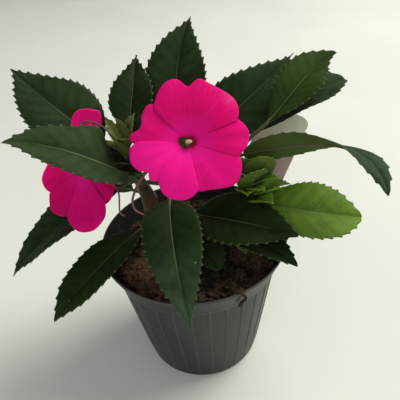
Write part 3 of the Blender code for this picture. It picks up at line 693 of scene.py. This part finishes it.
def leaf_middle(leaf, number):
    at, along = leaf_line(leaf)
    size = leaf["wide"] / 36.0
    rnd = random.Random(number)
    wave, kink = rnd.uniform(0, 6.28), rnd.uniform(1.6, 2.6)

    def rule(s, v):
        x = 2 * v - 1
        ax = np.abs(x)
        u = leaf["stalk"] + (1 - leaf["stalk"]) * s
        t = along(u)
        across, normal = leaf_axes(leaf, t, s)
        start = np.minimum(1.0, s / 0.12)
        w = leaf_half_width(leaf, s) * (1 - 0.28 * np.clip((s - 0.8) / 0.2, 0, 1))
        w = w * (1 - leaf["nip"] * np.clip((s - 0.6) / 0.3, 0, 1) * (x > 0))
        w = w * (1 + leaf["full"] * np.sin(np.pi * np.clip(s / 0.6, 0, 1)) * (x > 0))
        saw = (s * leaf["teeth"]) % 1.0
        rise = np.where(saw < 0.82, (saw / 0.82) ** 2.4, (1 - saw) / 0.18)
        live = np.clip((s - 0.06) / 0.08, 0, 1) * np.clip((1.0 - s) / 0.06, 0, 1)
        edge = ax ** 7 * live
        w = w + (TOOTH * rise - TOOTH_BACK) * edge * size ** 0.5
        w = np.maximum(w, 0.4)
        push = TOOTH_PUSH * rise * edge * size ** 0.5
        fold = math.radians(leaf["fold"]) * start
        puff = np.abs(np.sin(np.pi * vein_phase(leaf["veins"], s, ax))) ** 0.8
        puff = puff * np.clip(ax / 0.15, 0, 1) * (1 - ax ** 3)
        high = w * ax * np.sin(fold) + (np.sqrt(x * x + 0.003) - ax) * w * 0.15
        high += ARCH * w * ax * (1 - ax) * start
        high += PUFF * size * puff * start * np.clip((1 - s) / 0.15, 0, 1)
        high -= GROOVE * np.exp(-(x * w / 1.1) ** 2) * start
        high += WAVE * size * np.sin(s * kink * 6.28 + wave + x * 1.3) * ax ** 2 * start
        place = at(u) + across * (x * w * np.cos(fold))[:, None] + t * push[:, None]
        return place + normal * high[:, None], normal
    return rule


BLADE_HALF = 0.33


def blade_half(s, v):
    """Half thickness, nothing at the rim, where face and underside meet."""
    x = np.abs(2 * v - 1)
    return BLADE_HALF * (1 - x ** 10) * np.minimum(1, s * 40) * np.minimum(1, (1 - s) * 40)


def rib_path(leaf):
    """The stalk from inside the stem and on under the blade, ever thinner, to the tip."""
    at, along = leaf_line(leaf)
    stem = stem_line(leaf["stem"])[:, :3]
    root = np.array(leaf["root"], float)
    fine = np.vstack([stem[:-1] + (stem[1:] - stem[:-1]) * f for f in np.linspace(0, 1, 6)])
    foot = fine[np.argmin(np.linalg.norm(fine - root, axis=1))]
    head = at([leaf["stalk"]])[0]
    thick = 1.15 * min(1.0, 0.45 + leaf["wide"] / 60.0)
    rows = []
    for f in np.linspace(0, 0.9, 8):
        p = foot * (1 - f) ** 2 + root * 2 * f * (1 - f) + head * f * f
        rows.append((*p, thick * (1.25 - 0.25 * f)))
    s = np.linspace(0.0, 0.97, 34)
    u = leaf["stalk"] + (1 - leaf["stalk"]) * s
    mid = at(u)
    _, normal = leaf_axes(leaf, along(u), s)
    start = np.minimum(1.0, s / 0.12)
    r = thick * (1 - 0.75 * s ** 0.6)
    mid = mid - normal * ((0.2 + r * 0.55) * start)[:, None]
    return np.vstack([rows, np.column_stack([mid, r])])


def leaf_body(leaf, number):
    per_tooth, across = (8, 34) if leaf["wide"] > 20 else (7, 20)
    bm = thin_body(leaf["teeth"] * per_tooth, across, leaf_middle(leaf, number), blade_half)
    return blend_in(bm, tube(rib_path(leaf), 9), 2)


print("leaf rules ready")

# %% [markdown]
# ## The leaf's skin
# The upper face is dark, with a cream midrib, side veins a shade paler and pale teeth, and painted sheen
# lightens the puffed panels between the veins and the blade towards its tip. The underside is matt, paler
# and flushed with red along its midrib. The veins use the rule of the mesh on the UV map, so their colour
# lies exactly in the valleys of the surface.

# %% Leaves: materials
# In each row: the darker and the lighter green, the paler green near the tip, which is painted sheen, how
# much the midrib shows, and how pale the side veins are. The painted_sheen row is a paler grey-green that
# paints in the sheen on those leaves.
TONES = {
    "dark": ((0.006, 0.015, 0.003), (0.026, 0.045, 0.014), (0.030, 0.050, 0.020), 0.25, 0.0),
    "deep": ((0.005, 0.012, 0.002), (0.016, 0.029, 0.006), (0.018, 0.032, 0.008), 0.4, 0.0),
    "painted_sheen": ((0.011, 0.022, 0.005), (0.034, 0.054, 0.019), (0.040, 0.060, 0.026), 0.6, 0.0),
    "front": ((0.006, 0.015, 0.003), (0.018, 0.034, 0.008), (0.046, 0.082, 0.042), 0.6, 0.0),
    "green": ((0.014, 0.030, 0.004), (0.040, 0.068, 0.012), (0.042, 0.074, 0.016), 0.5, 0.2),
    "light": ((0.040, 0.100, 0.006), (0.140, 0.235, 0.028), (0.140, 0.225, 0.036), 1.0, 0.55),
    "young": ((0.095, 0.190, 0.012), (0.270, 0.430, 0.045), (0.280, 0.430, 0.060), 0.6, 0.4),
    "olive": ((0.070, 0.092, 0.016), (0.150, 0.165, 0.045), (0.160, 0.165, 0.060), 0.3, 0.3),
}


def leaf_skin(tone, veins, teeth, under=False):
    shade, light, tip, rib, pale = TONES[tone]

    def paint(spot, uv):
        s, y, _ = uv.split()
        x = (y * 2.0 - 1.0).abs()
        phase = vein_phase(veins, s, x)
        off = (phase - phase.sum("ROUND")).abs()
        near = x.step(0.98, 0.6)
        side_vein = off.step(0.06, 0.0) * near
        # Painted sheen: the puffed panels between the side veins are painted lighter.
        panel = off.step(0.05, 0.42) * x.step(0.02, 0.35) * near
        midrib = x.step(0.026, 0.006) * s.step(0.95, 0.3)
        cloud, mottle = spot.noise(34.0, 4.0, 0.6), spot.noise(150.0, 4.0, 0.6)
        fine = spot.noise(600.0, 3.0)
        base = coats((cloud.step(0.3, 0.7) * 0.75 + panel * (0.24 + 0.2 * pale)).mix(shade, light),
                     # Painted sheen: the blade takes a paler, bluer green towards its tip.
                     (s.step(0.3, 0.95) * cloud.step(0.2, 0.6) * 0.8, tip),
                     (mottle.step(0.35, 0.8) * 0.35, shade))
        if under:
            base = coats(base, (mottle * 0.3 + 0.6, (0.085, 0.125, 0.032)),
                         (side_vein * 0.3, (0.130, 0.125, 0.055)),
                         (x.step(0.10, 0.01) * 0.8, (0.150, 0.085, 0.045)))
            return base, 0.6 + cloud * 0.1, fine, 0.06
        vein = tuple(d * (1 - pale) + c * 1.5 * pale for d, c in zip(shade, light))
        tooth = (s * teeth).fract().step(0.5, 0.9) * x.step(0.88, 0.98)
        base = coats(base, (side_vein * (0.28 + 0.3 * pale), vein),
                     (midrib * rib, (0.20, 0.23, 0.10)),
                     (x.step(0.93, 1.0) * 0.25 + tooth * 0.45, (0.13, 0.160, 0.080)),
                     (spot.noise(300.0, 1.0).step(0.785, 0.81) * 0.5, (0.24, 0.25, 0.14)))
        rough = 0.40 + cloud * 0.2 + mottle * 0.14
        return base, rough, fine * 0.35 + side_vein * -0.4 + mottle * 0.5, 0.12
    label = "leaf_%s_%d_%d%s" % (tone, veins, teeth, "_under" if under else "")
    return finish(label, paint, Roughness=0.45, Specular_IOR_Level=0.07)


RIB = finish("leaf_rib", cloudy(120.0, 3.0, (0.3, 0.7), (0.070, 0.085, 0.026), (0.115, 0.070, 0.036), 0.42,
                                0.05), Roughness=0.45, Specular_IOR_Level=0.25)
SKINS = {}


def skins(leaf):
    key = (leaf["tone"], leaf["veins"], leaf["teeth"])
    if key not in SKINS:
        SKINS[key] = (leaf_skin(*key), leaf_skin(*key, under=True), RIB)
    return SKINS[key]


for number, (name, leaf) in enumerate(LEAVES.items()):
    slot = "leaf_young" if leaf["tone"] in ("light", "young", "olive") else "leaf"
    slot = "leaf_mid" if name in ("leaf_right_upper", "leaf_right_long") else slot
    piece(name + "_blade", leaf_body(leaf, number), skins(leaf), slot, [name])

# %% [markdown]
# At the top of a stem the next leaves are only just opening. They are drawn by the same rules, a few at
# each growing tip, and those of one colour are joined into one piece because they grow as one rosette.
# The lower leaves of the dark rosette at the left fill dark gaps under the flower: partly leaves, partly
# dark sheets standing in for shade.

# %% Leaves: growing tips
# In each row: root, tip, width, lift and the number of teeth.
TIPS = {
    # The lower rows here stand partly for leaves and partly for shade in the dark gaps under the flower.
    ("tip_left", "dark", "leaf"): [
        ((-31, 4, 152), (-42, -8, 160), 14, (2, 2), 8), ((-32, 5, 156), (-51, 12, 158), 24, (2, 2), 8),
        ((-30, 6, 150), (-49, 5, 150), 19, (2, 2), 8), ((-29, 5, 152), (-26, -7, 166), 15, (1, 1), 8),
        ((-28, 7, 142), (-27, -9, 151), 15, (1, 2), 8), ((-33, 4, 163), (-21, 12, 180), 15, (1, 1), 8),
        ((-30, 6, 146), (-48, 2, 146), 17, (2, 2), 8), ((-27, 8, 136), (-8, 3, 137), 18, (3, 3), 8)],
    ("tip_left", "olive", "leaf_young"): [
        ((-33, 2, 165), (-35, -1, 185), 9, (1, 2), 6), ((-32, 3, 165), (-26, 7, 183), 11, (1, 2), 6),
        ((-33, 1, 162), (-33, -9, 176), 9, (2, 2), 6), ((-34, 3, 159), (-47, 2, 170), 8, (2, 2), 6)],
    ("tip_right", "young", "leaf_young"): [
        ((37, 7, 126), (52, -6, 141), 13, (1, 2), 8), ((36, 6, 124), (44, -13, 137), 12, (2, 2), 8),
        ((36, 8, 121), (58, 3, 126), 13, (2, 2), 8), ((34, 8, 132), (34, -8, 145), 15, (1, 2), 8),
        ((35, 7, 123), (34, -12, 134), 14, (2, 2), 8), ((33, 7, 138), (29, -4, 156), 15, (1, 1), 8),
        ((37, 7, 118), (42, -13, 152), 20, (1, 3), 10), ((37, 7, 116), (49, -14, 128), 17, (2, 2), 8),
        ((38, 7, 118), (59, -9, 138), 17, (1, 2), 8)],
}
FIRST_SEED = 40
for (name, tone, slot), rows in TIPS.items():
    rows = [leaf_row(name.replace("tip", "stem"), root, tip, wide, lift, tone=tone, teeth=teeth, veins=5)
            for root, tip, wide, lift, teeth in rows]
    cluster = leaf_body(rows[0], FIRST_SEED)
    for number, row in enumerate(rows[1:]):
        blend_in(cluster, leaf_body(row, FIRST_SEED + 1 + number))
    piece(name + "_" + tone, cluster, skins(rows[0]), slot)

# %% [markdown]
# ## The flowers
# A flower is five flat petals on a narrow ring, some of them notched into two lobes, so it is drawn here
# as six or seven overlapping lobes. Each has its own row: the angles it covers, its reach across that
# angle, how far it stands in front of its neighbours, and a level of painted light and shade, because each
# one catches the light differently. The second flower is the same thing turned round, as we look at its
# back.

# %% Flowers: the tables
BLOOMS = {
    "bloom_front": dict(
        centre=(2, -17, 175), normal=(0.02, -0.81, 0.585), turn=-5, face=1, deep=1.0, reach=33.0,
        petals=[
            (137, 21, (23.5, 27, 30.5, 33.3, 33.0, 28.6, 33.4, 32.6, 32.4, 33.0, 33.2, 31.5, 27.5),
             1.9, 0.25),
            (30, -18, (26.5, 29.5, 31.8, 32.6, 31.8, 29.6, 27.0), 1.0, 0.35),
            (-9, -84, (26.0, 29.0, 31.6, 33.0, 33.2, 31.0, 28.8, 27.2, 26.6, 25.0), 0.0, 0.5),
            (-76, -136, (25.0, 28.4, 30.2, 30.6, 30.4, 28.6, 25.0, 20.0), 1.8, 0.8),
            (-124, -181, (23.0, 26.5, 27.4, 25.6, 29.0, 30.6, 31.2, 30.6, 29.6, 26.0), 0.9, 1.0),
            (187, 129, (22.0, 28.6, 29.8, 25.8, 25.4, 27.0, 27.8, 28.0, 25.5), 0.0, 0.4),
        ],
        spur=[(-1.8, -1.0, -7.6, 1.5), (-9, -5, -12, 1.3), (-20, -12, -13, 0.9), (-26.5, -20, -12, 0.7),
              (-29.5, -27, -11, 0.65), (-30, -31, -10, 0.65), (-28.5, -35, -10, 0.6),
              (-24, -37.5, -10, 0.5)],
        stalk=[(1, 6, 160, 0.9), (-1, 15.6, 152, 1.0), (-4, 18, 149, 1.0)]),
    "bloom_left": dict(
        centre=(-59, -3, 158), normal=(0.3, -0.77, 0.56), turn=-17, face=-1, deep=0.6, reach=32.0,
        petals=[
            (106, 66, (23.0, 29.0, 31.6, 32.0, 32.4, 32.6, 27.0), 1.2, 0.5),
            (72, -20, (18.0, 19.0, 19.0, 18.4, 17.4, 17.8, 18.4, 18.6, 18.0), 0.0, 0.3),
            (-12, -66, (18.0, 20.4, 21.4, 23.0, 24.4, 25.4, 24.0), 1.2, 0.3),
            (-58, -108, (24.0, 30.5, 34.0, 36.6, 37.4, 36.8, 33.5, 28.0), 2.4, 0.5),
            (-100, -139, (25.0, 29.6, 30.6, 30.0, 26.5, 23.0), 1.2, 0.25),
            (-130, -184, (20.0, 23.0, 23.4, 22.4, 20.0, 18.0), 0.0, 0.2),
            (182, 98, (18.0, 20.5, 22.0, 21.4, 20.6, 21.8, 22.4, 20.0), -1.2, 0.3),
        ],
        spur=[(2, -0.8, -6.0, 1.2), (7, -3, -7.6, 1.1), (14, -7, -7.6, 0.8), (19.5, -15, -7, 0.55),
              (20.3, -26, -6.5, 0.45), (23, -28.5, -6.5, 0.4)],
        stalk=[(-57, -4, 170, 0.7), (-57, 3, 173.5, 0.6), (-56.8, 8, 178, 0.5), (-53.6, 9.2, 179.4, 0.5),
               (-47.4, 8.5, 177.5, 0.5), (-41.5, 5, 173.5, 0.55), (-37.6, 2.6, 168, 0.7),
               (-34.5, 2.8, 163.5, 1.0)]),
}
THROAT_R = 4.2


def flower_axes(bloom):
    """Right, up and outward directions of a flower as the front view shows it."""
    n = unit(np.array(bloom["normal"], float))
    x = unit(np.cross((0, 0, 1.0), n))
    y = np.cross(n, x)
    r = math.radians(bloom["turn"])
    return x * math.cos(r) + y * math.sin(r), y * math.cos(r) - x * math.sin(r), n


def flower_place(bloom, x, y, h):
    right, up, out = flower_axes(bloom)
    x, y, h = (np.asarray(k, float)[..., None] for k in (x, y, h))
    return np.array(bloom["centre"], float) + right * x + up * y + out * h * bloom["face"]


print(sum(len(b["petals"]) for b in BLOOMS.values()), "petal lobes")

# %% [markdown]
# A petal is a thin body like a leaf blade, but its grid runs from the throat to the rim. It is low at the
# throat, arched in the middle and turned back at the rim. Fine pleats fan out from the throat and fade, a
# soft valley follows the middle, and the rim waves a little.

# %% Flowers: petals
def spline_at(values, f):
    """Smooth curve through evenly spaced values, read at shares f."""
    values = np.asarray(values, float)
    k = np.clip(f * (len(values) - 1), 0, len(values) - 1 - 1e-9)
    i = k.astype(int)
    t = k - i
    pad = np.concatenate([[2 * values[0] - values[1]], values, [2 * values[-1] - values[-2]]])
    return catmull_rom(pad[i], pad[i + 1], pad[i + 2], pad[i + 3], t)


DISH, SWELL, DROOP, LAYER_GAP, BELLY = 2.2, 1.6, 1.2, 0.65, 0.5
RIM_WAVE, VALLEY, PLEAT, RIM_TURN, PETAL_HALF = 0.55, 0.4, 0.04, 0.7, 0.30


def petal_shape(bloom, row, number):
    first, last, reach, layer, tint = row
    right, up, out = flower_axes(bloom)
    centre, face = np.array(bloom["centre"], float), bloom["face"]
    rnd = random.Random(number * 7 + 1)
    shift, beat = rnd.uniform(0, 6.28), rnd.choice((2.0, 2.5, 3.0))

    def middle(u, v):
        f = 1 - (1 - u) ** 1.15
        rmax = spline_at(reach, v)
        a = np.radians(first + (last - first) * v)
        mouth = THROAT_R * (0.88 + 0.18 * np.cos(2 * a) + 0.06 * np.sin(3 * a))
        r = mouth + (rmax - mouth) * f
        t = (r - THROAT_R) / (bloom["reach"] - THROAT_R)
        flank = np.sin(np.pi * v) ** 2
        near = np.clip(t, 0, 1)
        h = face * (SWELL * np.sin(np.pi * near) - DISH * np.clip(1 - t, 0, 1) ** 3 - DROOP * t ** 3)
        h = h + LAYER_GAP * layer * np.minimum(1.0, t * 2.2) + BELLY * flank * f
        h = h + RIM_WAVE * np.sin(v * 6.28 * beat + shift) * f ** 2 * flank
        h = h - VALLEY * np.exp(-((v - 0.5) / 0.09) ** 2) * f * (1 - 0.4 * f) * face
        h = h + PLEAT * np.sin(v * len(reach) * 7.0) * np.sin(np.pi * np.clip(f * 1.15, 0, 1))
        h = h - face * RIM_TURN * f ** 8
        turn = np.stack([np.cos(a), np.sin(a)], -1)
        place = centre + right * (r * turn[:, 0])[:, None] + up * (r * turn[:, 1])[:, None]
        return place + out * h[:, None], np.tile(out * face, (len(u), 1))

    def half(u, v):
        ends = np.minimum(1, u * 30) * np.minimum(1, (1 - u) * 14)
        return PETAL_HALF * (1 - np.abs(2 * v - 1) ** 14) * ends
    bm = thin_body(34, 4 * len(reach) + 8, middle, half, under=0)
    tints = bm.verts.layers.float.new("tint")
    for v in bm.verts:
        v[tints] = tint
    return bm


# Centre of a painted sheen on the upper right of the front flower's top petal.
BLEACHED_AT = (0.028, -0.004, 0.193)


def petal_paint(spot, uv):
    u = uv.split()[0]
    tint = spot.node("Attribute", output=2, attribute_name="tint")
    vein = uv.noise(1.0, 2.0, 0.5, stretch=(1.6, 24.0, 1.0))
    cloud = spot.noise(70.0, 3.0)
    bleached = spot.node("VectorMath", {0: spot, 1: BLEACHED_AT}, 1, operation="DISTANCE")
    # The per-lobe level read here is painted light and shade: each lobe is lighter or darker as it catches
    # the light.
    base = coats((tint * 0.85 + cloud * 0.3).step(0.05, 1.15).mix((0.62, 0.003, 0.108), (1.0, 0.012, 0.30)),
                 (vein.step(0.52, 0.72) * u.step(1.0, 0.3) * 0.12, (0.46, 0.001, 0.10)),
                 (vein.step(0.46, 0.32) * u.step(0.1, 0.8) * 0.14, (1.0, 0.03, 0.44)),
                 (u.step(0.96, 1.0) * 0.12, (0.95, 0.04, 0.36)),
                 # Painted sheen: a pale pink patch on the upper right of the top petal.
                 (bleached.step(0.009, 0.001) * vein.step(0.3, 0.6) * 0.3, (0.85, 0.19, 0.46)),
                 (u.step(0.5, 0.12) * 0.3, (1.0, 0.020, 0.42)),
                 (u.step(0.10, 0.0) * 0.45, (0.46, 0.004, 0.07)))
    return base, 0.58 + cloud * 0.14, vein * 0.4 + spot.noise(1400.0, 2.0) * 0.3, 0.06


PETAL = finish("petal_velvet", petal_paint, Roughness=0.6, Specular_IOR_Level=0.02,
               Subsurface_Weight=0.12, Subsurface_Scale=0.003)
for name, bloom in BLOOMS.items():
    bm = bmesh.new()
    bm.verts.layers.float.new("tint")
    for number, row in enumerate(bloom["petals"]):
        blend_in(bm, petal_shape(bloom, row, number))
    piece(name + "_lobes", bm, [PETAL], "petal", [name + "_petals"])

# %% [markdown]
# ## Throat, spur, column and stalk
# Behind the petals the flower narrows into a cup, and the cup runs out into the long thin nectar spur that
# curls under the flower. In its mouth stands the column with the cream pollen head. A short spin gives the
# cup, and the same stalk brush as before gives the spur.

# %% Flowers: cup, spur, column, pollen head, stalk
MOUTH = -3.5


def flower_turned(bloom, rings, sides=28, lean=(0, 0), squeeze=1.0):
    """A round body about the flower's axis from rows of radius and height."""
    def rule(u, v):
        r, h = row_at(rings, u)
        a = v * 2 * np.pi
        grow = np.clip((h - MOUTH) / 4.0, 0, 1)
        x, y = r * np.cos(a) + lean[0] * grow, r * np.sin(a) * squeeze + lean[1] * grow
        return flower_place(bloom, x, y, h)
    return bent_grid(len(rings) - 1, sides, rule)


def throat_paint(spot, uv):
    side = (uv.split()[1] * (2 * math.pi)).sum("COSINE")
    tone = spot.noise(300.0, 3.0)
    base = coats(side.step(-0.2, 0.3).mix((0.055, 0.085, 0.016), (0.42, 0.008, 0.04)),
                 (tone.step(0.4, 0.7) * 0.35, (0.12, 0.02, 0.02)))
    return base, None, tone, 0.1


SPUR = finish("spur_skin", cloudy(160.0, 3.0, (0.35, 0.65), (0.12, 0.030, 0.030), (0.22, 0.080, 0.066), 0.4,
                                  0.05), Roughness=0.45, Subsurface_Weight=0.1, Subsurface_Scale=0.001)
STALK = finish("flower_stalk_skin", cloudy(120.0, 3.0, (0.3, 0.7), (0.035, 0.042, 0.014),
                                           (0.085, 0.070, 0.034), 0.4, 0.05), Roughness=0.45)
COLUMN = finish("column_skin", cloudy(420.0, 2.0, (0.4, 0.6), (0.14, 0.19, 0.05), (0.34, 0.06, 0.06)),
                Roughness=0.45)
POLLEN = finish("pollen", cloudy(1800.0, 2.0, (0.35, 0.65), (0.34, 0.20, 0.12), (0.72, 0.60, 0.42),
                                 relief=0.1), Roughness=0.8)
THROAT = finish("throat_skin", throat_paint, Roughness=0.5)


def bloom_parts(name, bloom):
    def deep(h):
        return MOUTH + (h - MOUTH) * bloom["deep"] if h < MOUTH else h
    cup = [(0, -10.2), (0.9, -10.1), (1.6, -9.8), (2.5, -8.8), (3.3, -7.6), (4.1, -6.3), (4.7, -5.0),
           (5.1, -4.0), (5.3, -3.3), (5.0, -2.9), (4.3, -3.0), (4.1, -3.5), (3.6, -4.2), (2.8, -4.7),
           (1.9, -5.0), (1.0, -5.2), (0, -5.2)]
    body = flower_turned(bloom, [(r, deep(h)) for r, h in cup])
    uv = body.loops.layers.uv.active
    for face in body.faces:
        if sum(loop[uv].uv[0] for loop in face.loops) / len(face.loops) > 0.5:
            face.material_index = 1
    rows = [[*flower_place(bloom, x, y, h), r] for x, y, h, r in bloom["spur"]]
    blend_in(body, tube(smooth_path(rows, 8), 12), 0)
    piece(name + "_cup_and_spur", body, [SPUR, THROAT], "spur", [name + "_spur"])
    lean = (0.9, 0.2)
    column = [(0, deep(-4.9)), (0.7, deep(-4.8)), (1.3, -4.0), (1.55, -3.3), (1.45, -2.4), (1.2, -1.5),
              (0.7, -1.2), (0, -1.1)]
    piece(name + "_column_body", flower_turned(bloom, column, 18, lean), [COLUMN], "stalk_green",
          [name + "_column"])
    head = [(0, -1.1), (1.0, -0.9), (1.6, -0.3), (1.8, 0.3), (1.4, 0.8), (0.8, 1.05), (0, 0.9)]
    piece(name + "_pollen_head", flower_turned(bloom, head, 18, lean, 0.6), [POLLEN], "anther",
          [name + "_anther"])
    start = [[*flower_place(bloom, 0, 0.3 * d, deep(-10.2) - d), 0.95] for d in (-0.6, 2.4)]
    line = np.vstack([start[:1], smooth_path(start[1:] + [list(r) for r in bloom["stalk"]], 8)])
    piece(name + "_flower_stalk", tube(line, 12), [STALK], "stalk_green", [name + "_stalk"])


for name, bloom in BLOOMS.items():
    bloom_parts(name, bloom)

# %% [markdown]
# ## The plant label and the peat on the lip
# The label is a stiff plastic tongue pushed into the peat. A real one is printed; this part carries no
# words, so its face is plain cream that turns mauve towards the peat. A strand of matted peat hangs over
# the pot's lip, as it does after watering.

# %% Label and strand
LABEL = dict(foot=(24, 27, 56), top=(67, 36, 162), thick=0.8, look=(-0.1, -0.8, 0.58))


def label_shape():
    foot, top = np.array(LABEL["foot"], float), np.array(LABEL["top"], float)
    length = np.linalg.norm(top - foot)
    along = unit(top - foot)
    out = np.array(LABEL["look"], float)
    out = unit(out - along * np.dot(out, along))
    side = np.cross(along, out)
    edge = [(0, 3.0), (6, 6.0), (12, 6.0), (44, 6.0), (48, 7.0), (54, 13.0), (58, 15.0), (62, 15.0),
            (90, 15.0), (length - 5, 15.0), (length - 4, 14.9), (length - 2.4, 14.1), (length - 1.1, 12.7),
            (length - 0.4, 11.2), (length, 9.6)]

    def rule(u, v):
        far, half = row_at(edge, u)
        x = 2 * v - 1
        bow = 0.25 * (1 - x * x) * np.clip((far - 50) / 30, 0, 1)
        return foot + side * (x * half)[:, None] + along * far[:, None] + out * bow[:, None]
    bm = bent_grid(len(edge) - 1, 12, rule)
    bmesh.ops.solidify(bm, geom=bm.faces[:], thickness=LABEL["thick"] * MM)
    return bm


def label_paint(spot, uv):
    z = spot.split()[2]
    cloud = spot.noise(90.0, 3.0)
    base = coats(cloud.step(0.3, 0.7).mix((0.84, 0.84, 0.62), (0.90, 0.90, 0.72)),
                 (z.step(0.150, 0.132) * 0.8, (0.50, 0.32, 0.31)),
                 (z.step(0.128, 0.10) * 0.5, (0.36, 0.22, 0.23)),
                 (spot.noise(160.0, 3.0).step(0.62, 0.7) * z.step(0.12, 0.10) * 0.7, (0.06, 0.04, 0.03)))
    return base, 0.34 + cloud * 0.15, spot.noise(700.0, 2.0), 0.03


piece("label_plate", label_shape(), [finish("label_card", label_paint, Roughness=0.4)], "label_plastic",
      ["plant_label"], sharp=40)
STRAND = [(54.4, 91.5, 0.7), (55.4, 94.5, 0.9), (57.0, 98.4, 0.9), (58.4, 100.2, 0.8), (60.0, 100.7, 0.9),
          (61.7, 99.3, 1.0), (61.3, 96.6, 1.0), (60.4, 94.0, 1.2), (59.5, 91.5, 1.1), (58.4, 89.0, 1.2),
          (57.5, 86.6, 1.0), (57.2, 85.0, 0.5)]


def strand_shape():
    rows = []
    for k, (r, z, half) in enumerate(STRAND):
        a = math.radians(-65.0 + 1.2 * math.sin(k * 1.1))
        rows.append((r * math.cos(a), r * math.sin(a), z, half * 0.8))
    line = smooth_path(rows, 6)
    rnd = random.Random(5)
    bm = tube(line, 9, lambda f, v: 0.8 + 0.35 * np.sin(f * 60 + v * 9) * np.cos(v * 12.6 + f * 31))
    for _ in range(60):
        x, y, z, half = line[rnd.randrange(len(line))]
        at = Vector((x + rnd.gauss(0, 0.55), y + rnd.gauss(0, 0.3) - 0.1, z + rnd.gauss(0, 0.4)))
        bmesh.ops.create_icosphere(bm, subdivisions=1, radius=rnd.uniform(0.3, 0.85) * MM,
                                   matrix=Matrix.Translation(at * MM))
    return bm


piece("peat_on_lip", strand_shape(), [PEAT], "peat", ["peat_strand"])

# %% [markdown]
# ## Floor, light and camera
# The plant stands on a pale floor in soft daylight. One broad lamp stands high behind it on the right, a
# weak one in front and the pale sky fill the shade, and the camera looks down at about 36 degrees, as one
# does at a pot on the ground. The display is set to Standard, because the usual one turns strong magenta
# into pale pink.

# %% Floor, light, camera
def floor_paint(spot, uv):
    lines = spot.noise(30.0, 2.0, stretch=(0.15, 1.0, 1.0))
    base = coats(spot.noise(3.0, 2.0).step(0.3, 0.7).mix((0.70, 0.72, 0.665), (0.74, 0.76, 0.70)),
                 (lines.step(0.5, 0.8) * 0.12, (0.80, 0.82, 0.76)))
    return base, None, None, 0


bm = bmesh.new()
bmesh.ops.create_grid(bm, x_segments=2, y_segments=2, size=3.0)
floor = new_object("floor", bm, [finish("floor_pale", floor_paint, Roughness=0.7, Specular_IOR_Level=0.2)])
floor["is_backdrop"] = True


LIT_POINT = Vector((0, 0, 0.1))


def lamp(name, at, size, watts, colour):
    data = bpy.data.lights.new(name, "AREA")
    data.shape, data.size, data.energy, data.color = "DISK", size, watts, colour
    obj = bpy.data.objects.new(name, data)
    obj.location = at
    obj.rotation_euler = (LIT_POINT - Vector(at)).to_track_quat("-Z", "Y").to_euler()
    bpy.context.scene.collection.objects.link(obj)


lamp("key", (1.25, 0.55, 1.75), 1.4, 46.0, (1.0, 0.99, 0.91))
lamp("fill", (-0.35, -1.2, 0.9), 1.0, 4.6, (0.95, 0.97, 1.0))
world = bpy.data.worlds.new("sky")
world.use_nodes = True
sky = world.node_tree.nodes["Background"].inputs
sky["Color"].default_value, sky["Strength"].default_value = (0.96, 0.98, 0.97, 1), 0.36
bpy.context.scene.world = world
bpy.context.scene.view_settings.view_transform = "Standard"

TILT, ROLL = math.radians(36.1), math.radians(-5.0)
EYE_AT, SENSOR, LENS = (0.006, -0.2148, 0.2815), 36.0, 38.7
ahead = Vector((0, math.cos(TILT), -math.sin(TILT)))
level = Vector((1, 0, 0))
rise = level.cross(ahead)
right = level * math.cos(ROLL) + rise * math.sin(ROLL)
over = rise * math.cos(ROLL) - level * math.sin(ROLL)
eye = bpy.data.cameras.new("camera")
eye.sensor_width, eye.lens, eye.clip_start = SENSOR, LENS, 0.01
camera = bpy.data.objects.new("camera", eye)
pose = Matrix((right, over, -ahead)).transposed().to_4x4()
pose.translation = EYE_AT
camera.matrix_world = pose
bpy.context.scene.collection.objects.link(camera)
bpy.context.scene.camera = camera

# %% [markdown]
# ## Size
# The growth of the finished plant's box over the CAD model's box is printed for each side, in millimetres.
# The finished plant has to stay as large as the CAD model.

# %% Write the sizes and finish
seen_low, seen_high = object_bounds()
print("grown by mm:", [round((a - b) / MM, 1) for a, b in zip(cad_low, seen_low)],
      [round((b - a) / MM, 1) for a, b in zip(cad_high, seen_high)])
